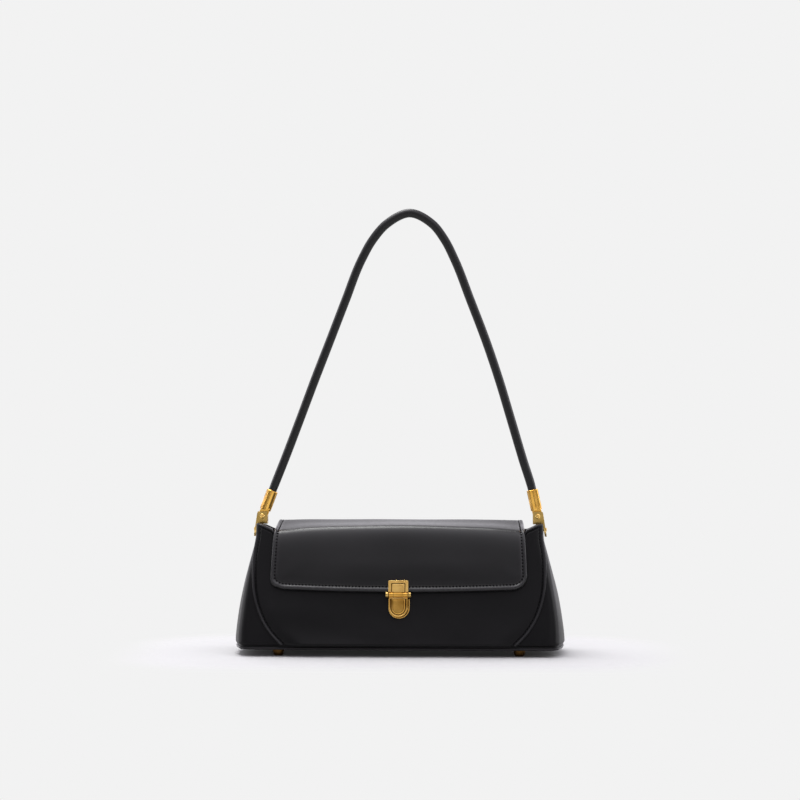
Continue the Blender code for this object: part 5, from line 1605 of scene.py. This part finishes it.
ferrule = {
    "radius": 0.0050, "foot": 0.0058, "top": 0.0236, "scallopTop": 0.0104, "scallopFoot": 0.0067,
    "tongueWidth": 0.0041, "tongueDepth": 0.0017, "tongueFoot": -0.0034, "tongueRound": 0.0032,
    "bore": 0.0039, "boreFoot": 0.0130, "lip": 0.00035, "screw": 0.0015,
}
clip = {
    "side": 0.1266, "swing": 0.1083, "cheek": 0.0044, "depth": 0.0042, "blockTop": 0.1240,
    "blockFoot": 0.1131, "slot": 0.0021, "legFoot": 0.1020, "legThickness": 0.0017,
    "innerLeg": 0.0014, "screwRadius": 0.0022, "screwHead": 0.0009, "screwShank": 0.0012,
    "screwDome": [(0.75, 0.9), (0.93, 0.62), (1, 0.25)],
    "rivet": 0.0019, "rivetHead": 0.0005, "rivetShank": 0.0015,
}


def buildFerrule(name, node, hand, lean):
    piece = startRound(name, ferrule["radius"], ferrule["foot"], ferrule["top"], 72)
    editPiece(piece)
    choose(piece, "FACE", lambda f: f.normal.z > 0.9)
    bpy.ops.mesh.inset(thickness=ferrule["lip"], depth=0.0003)
    bpy.ops.mesh.inset(thickness=ferrule["radius"] - ferrule["bore"] - ferrule["lip"], depth=0)
    bpy.ops.mesh.extrude_region_move(
        TRANSFORM_OT_translate={"value": (0, 0, ferrule["boreFoot"] - ferrule["top"])})
    # two slanted flats at the foot, front and back, leave a curved shoulder over the tongue
    drop = ferrule["scallopTop"] - ferrule["scallopFoot"]
    inward = ferrule["radius"] - ferrule["tongueDepth"]
    for side in (-1, 1):
        bpy.ops.mesh.select_all(action="SELECT")
        bpy.ops.mesh.bisect(plane_co=(0, side * ferrule["radius"], ferrule["scallopTop"]),
                            plane_no=(0, side * drop, -inward), clear_outer=True, use_fill=True)
    # rings that keep the shading of both ends off the plain barrel
    for ring in (ferrule["scallopTop"] + 0.0008, ferrule["top"] - 0.0010):
        bpy.ops.mesh.select_all(action="SELECT")
        bpy.ops.mesh.bisect(plane_co=(0, 0, ring), plane_no=(0, 0, 1))
    leaveEdit()
    softenEdges(piece, 0.00018, 30, 3)
    # the tongue is let into the barrel's foot, as a part of its own, so that the barrel stays even
    tongue = startBlock("tongue", (-ferrule["tongueWidth"], -ferrule["tongueDepth"], ferrule["tongueFoot"]),
                        (ferrule["tongueWidth"], ferrule["tongueDepth"], ferrule["foot"] + 0.0004))
    bevelWhere(tongue, lambda e: all(v.co.z < 0 for v in e.verts) and keepsAcross(e),
               ferrule["tongueRound"], 10)
    hole = startRound("tongue_hole", ferrule["screw"], -0.006, 0.006, 32)
    hole.data.transform(Matrix.Rotation(math.pi / 2, 4, "X"))
    joinShape(tongue, hole, "DIFFERENCE")
    softenEdges(tongue, 0.00015, 40, 3)
    pick(piece)
    tongue.select_set(True)
    bpy.ops.object.join()
    shadeBy(piece, 35)
    place = Matrix.Translation((hand * strap["pivotAcross"], 0, strap["pivotLevel"]))
    seat(piece, place @ Matrix.Rotation(-hand * lean, 4, "Y"), node + "_body", polishedGold, node)


def clipLeg(name, start, end, foot, head, lean):
    # a leg with a rounded foot, drawn across by a share of its height
    leg = startBlock(name, (start, -clip["depth"], foot), (end, clip["depth"], head))
    editPiece(leg)
    bpy.ops.mesh.select_all(action="SELECT")
    bpy.ops.mesh.subdivide(number_cuts=7)
    body = bmesh.from_edit_mesh(leg.data)
    for vertex in body.verts:
        rise = (vertex.co.z - clip["legFoot"]) / (clip["blockTop"] - clip["legFoot"])
        vertex.co.x += mix(*lean, rise)
        if vertex.co.z < clip["swing"]:
            reach = (clip["swing"] - vertex.co.z) / (clip["swing"] - foot)
            vertex.co.y *= math.sqrt(max(1 - reach ** 2, 0.0)) * 0.92 + 0.08
    bmesh.update_edit_mesh(leg.data)
    leaveEdit()
    return leg


def buildClip(name, node, hand):
    # built on the right side; the left one is its mirror
    pivot = strap["pivotAcross"]
    low, high = pivot - clip["cheek"], pivot + clip["cheek"]
    piece = startBlock(name, (low, -clip["depth"], clip["blockFoot"]),
                       (high, clip["depth"], clip["blockTop"]))
    bevelWhere(piece, lambda e: all(v.co.z > clip["blockTop"] - 1e-5 for v in e.verts) and keepsAcross(e),
               0.0008, 4)
    outer, inner = clip["side"] + 0.0003, clip["side"] - 0.0026
    # the outer leg meets the block at its head and is splayed a little at its foot
    joinShape(piece, clipLeg("outer_leg", outer, outer + clip["legThickness"], clip["legFoot"],
                             clip["blockTop"] - 0.0012, (0.0009, -0.0026)))
    joinShape(piece, clipLeg("inner_leg", inner - clip["innerLeg"], inner, clip["legFoot"] + 0.0008,
                             clip["blockFoot"] + 0.001, (0, 0)))
    slot = startBlock("clip_slot", (low - 0.002, -clip["slot"], clip["blockFoot"] + 0.0022),
                      (high + 0.0004, clip["slot"], clip["blockTop"] + 0.002))
    joinShape(piece, slot, "DIFFERENCE")
    softenEdges(piece, 0.00028, 38, 3)
    if hand < 0:
        pick(piece)
        piece.data.transform(Matrix.Scale(-1, 4, (1, 0, 0)))
        editPiece(piece)
        bpy.ops.mesh.select_all(action="SELECT")
        bpy.ops.mesh.flip_normals()
        leaveEdit()
    seat(piece, Matrix.Identity(4), "strap_body", dullGold, node)


def buildScrew(name, node, hand):
    face, radius, head = clip["depth"] + 0.00005, clip["screwRadius"], clip["screwHead"]
    shank, dome = clip["screwShank"], clip["screwDome"]
    profile = [(0, face + head), (radius * 0.45, face + head)]
    profile += [(radius * out, face + head * up) for out, up in dome]
    profile += [(radius, face), (shank, face), (shank, -face), (radius, -face)]
    profile += [(radius * out, -face - head * up) for out, up in dome[::-1]] + [(0, -face - head)]
    piece = turnedPiece(name, profile, 48)
    slot = startBlock("screw_slot", (-0.0003, -0.004, face + head * 0.45), (0.0003, 0.004, face + head * 2))
    slot.data.transform(Matrix.Rotation(0.5 * hand, 4, "Z"))
    joinShape(piece, slot, "DIFFERENCE")
    softenEdges(piece, 0.00008, 40, 2)
    place = Matrix.Translation((hand * strap["pivotAcross"], 0, strap["pivotLevel"]))
    seat(piece, place @ Matrix.Rotation(math.pi / 2, 4, "X"), "strap_body", goldPlate, node)


def buildRivet(name, node, hand):
    outer, inner, head = clip["side"] + 0.0024, clip["side"] - 0.0046, clip["rivetHead"]
    turns = evenly(0, math.pi / 2, 8)
    profile = [(clip["rivet"] * math.sin(turn), outer + head * math.cos(turn)) for turn in turns]
    profile += [(clip["rivetShank"], outer), (clip["rivetShank"], inner)]
    profile += [(clip["rivet"] * math.cos(turn), inner - head * math.sin(turn)) for turn in turns]
    piece = turnedPiece(name, profile, 40)
    place = Matrix.Rotation(hand * math.pi / 2, 4, "Y")
    seat(piece, Matrix.Translation((0, 0, clip["swing"])) @ place, "strap_body", goldPlate, node)


buildFeet()
for sideName, hand, lean in (("left", -1, strap["leans"][0]), ("right", 1, strap["leans"][1])):
    buildFerrule(sideName + "_gold_ferrule", sideName + "_ferrule", hand, lean)
    buildClip(sideName + "_clevis", sideName + "_clip", hand)
    buildScrew(sideName + "_screw", sideName + "_clevis_screw", hand)
    buildRivet(sideName + "_rivet", sideName + "_clip_rivet", hand)
print("feet, ferrules and clips built")

# Model pieces that stay as they are get their finish
washers = [f"foot_washer_{end}_{side}" for end in ("front", "back") for side in ("left", "right")]
for material, nodes in ((boardFibre, ["front_board", "back_board", "base_board"]),
                        (goldPlate, ["hasp_backing", "lock_backing"] + washers)):
    for node in nodes:
        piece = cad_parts[node]
        piece.data.materials.clear()
        piece.data.materials.append(material)
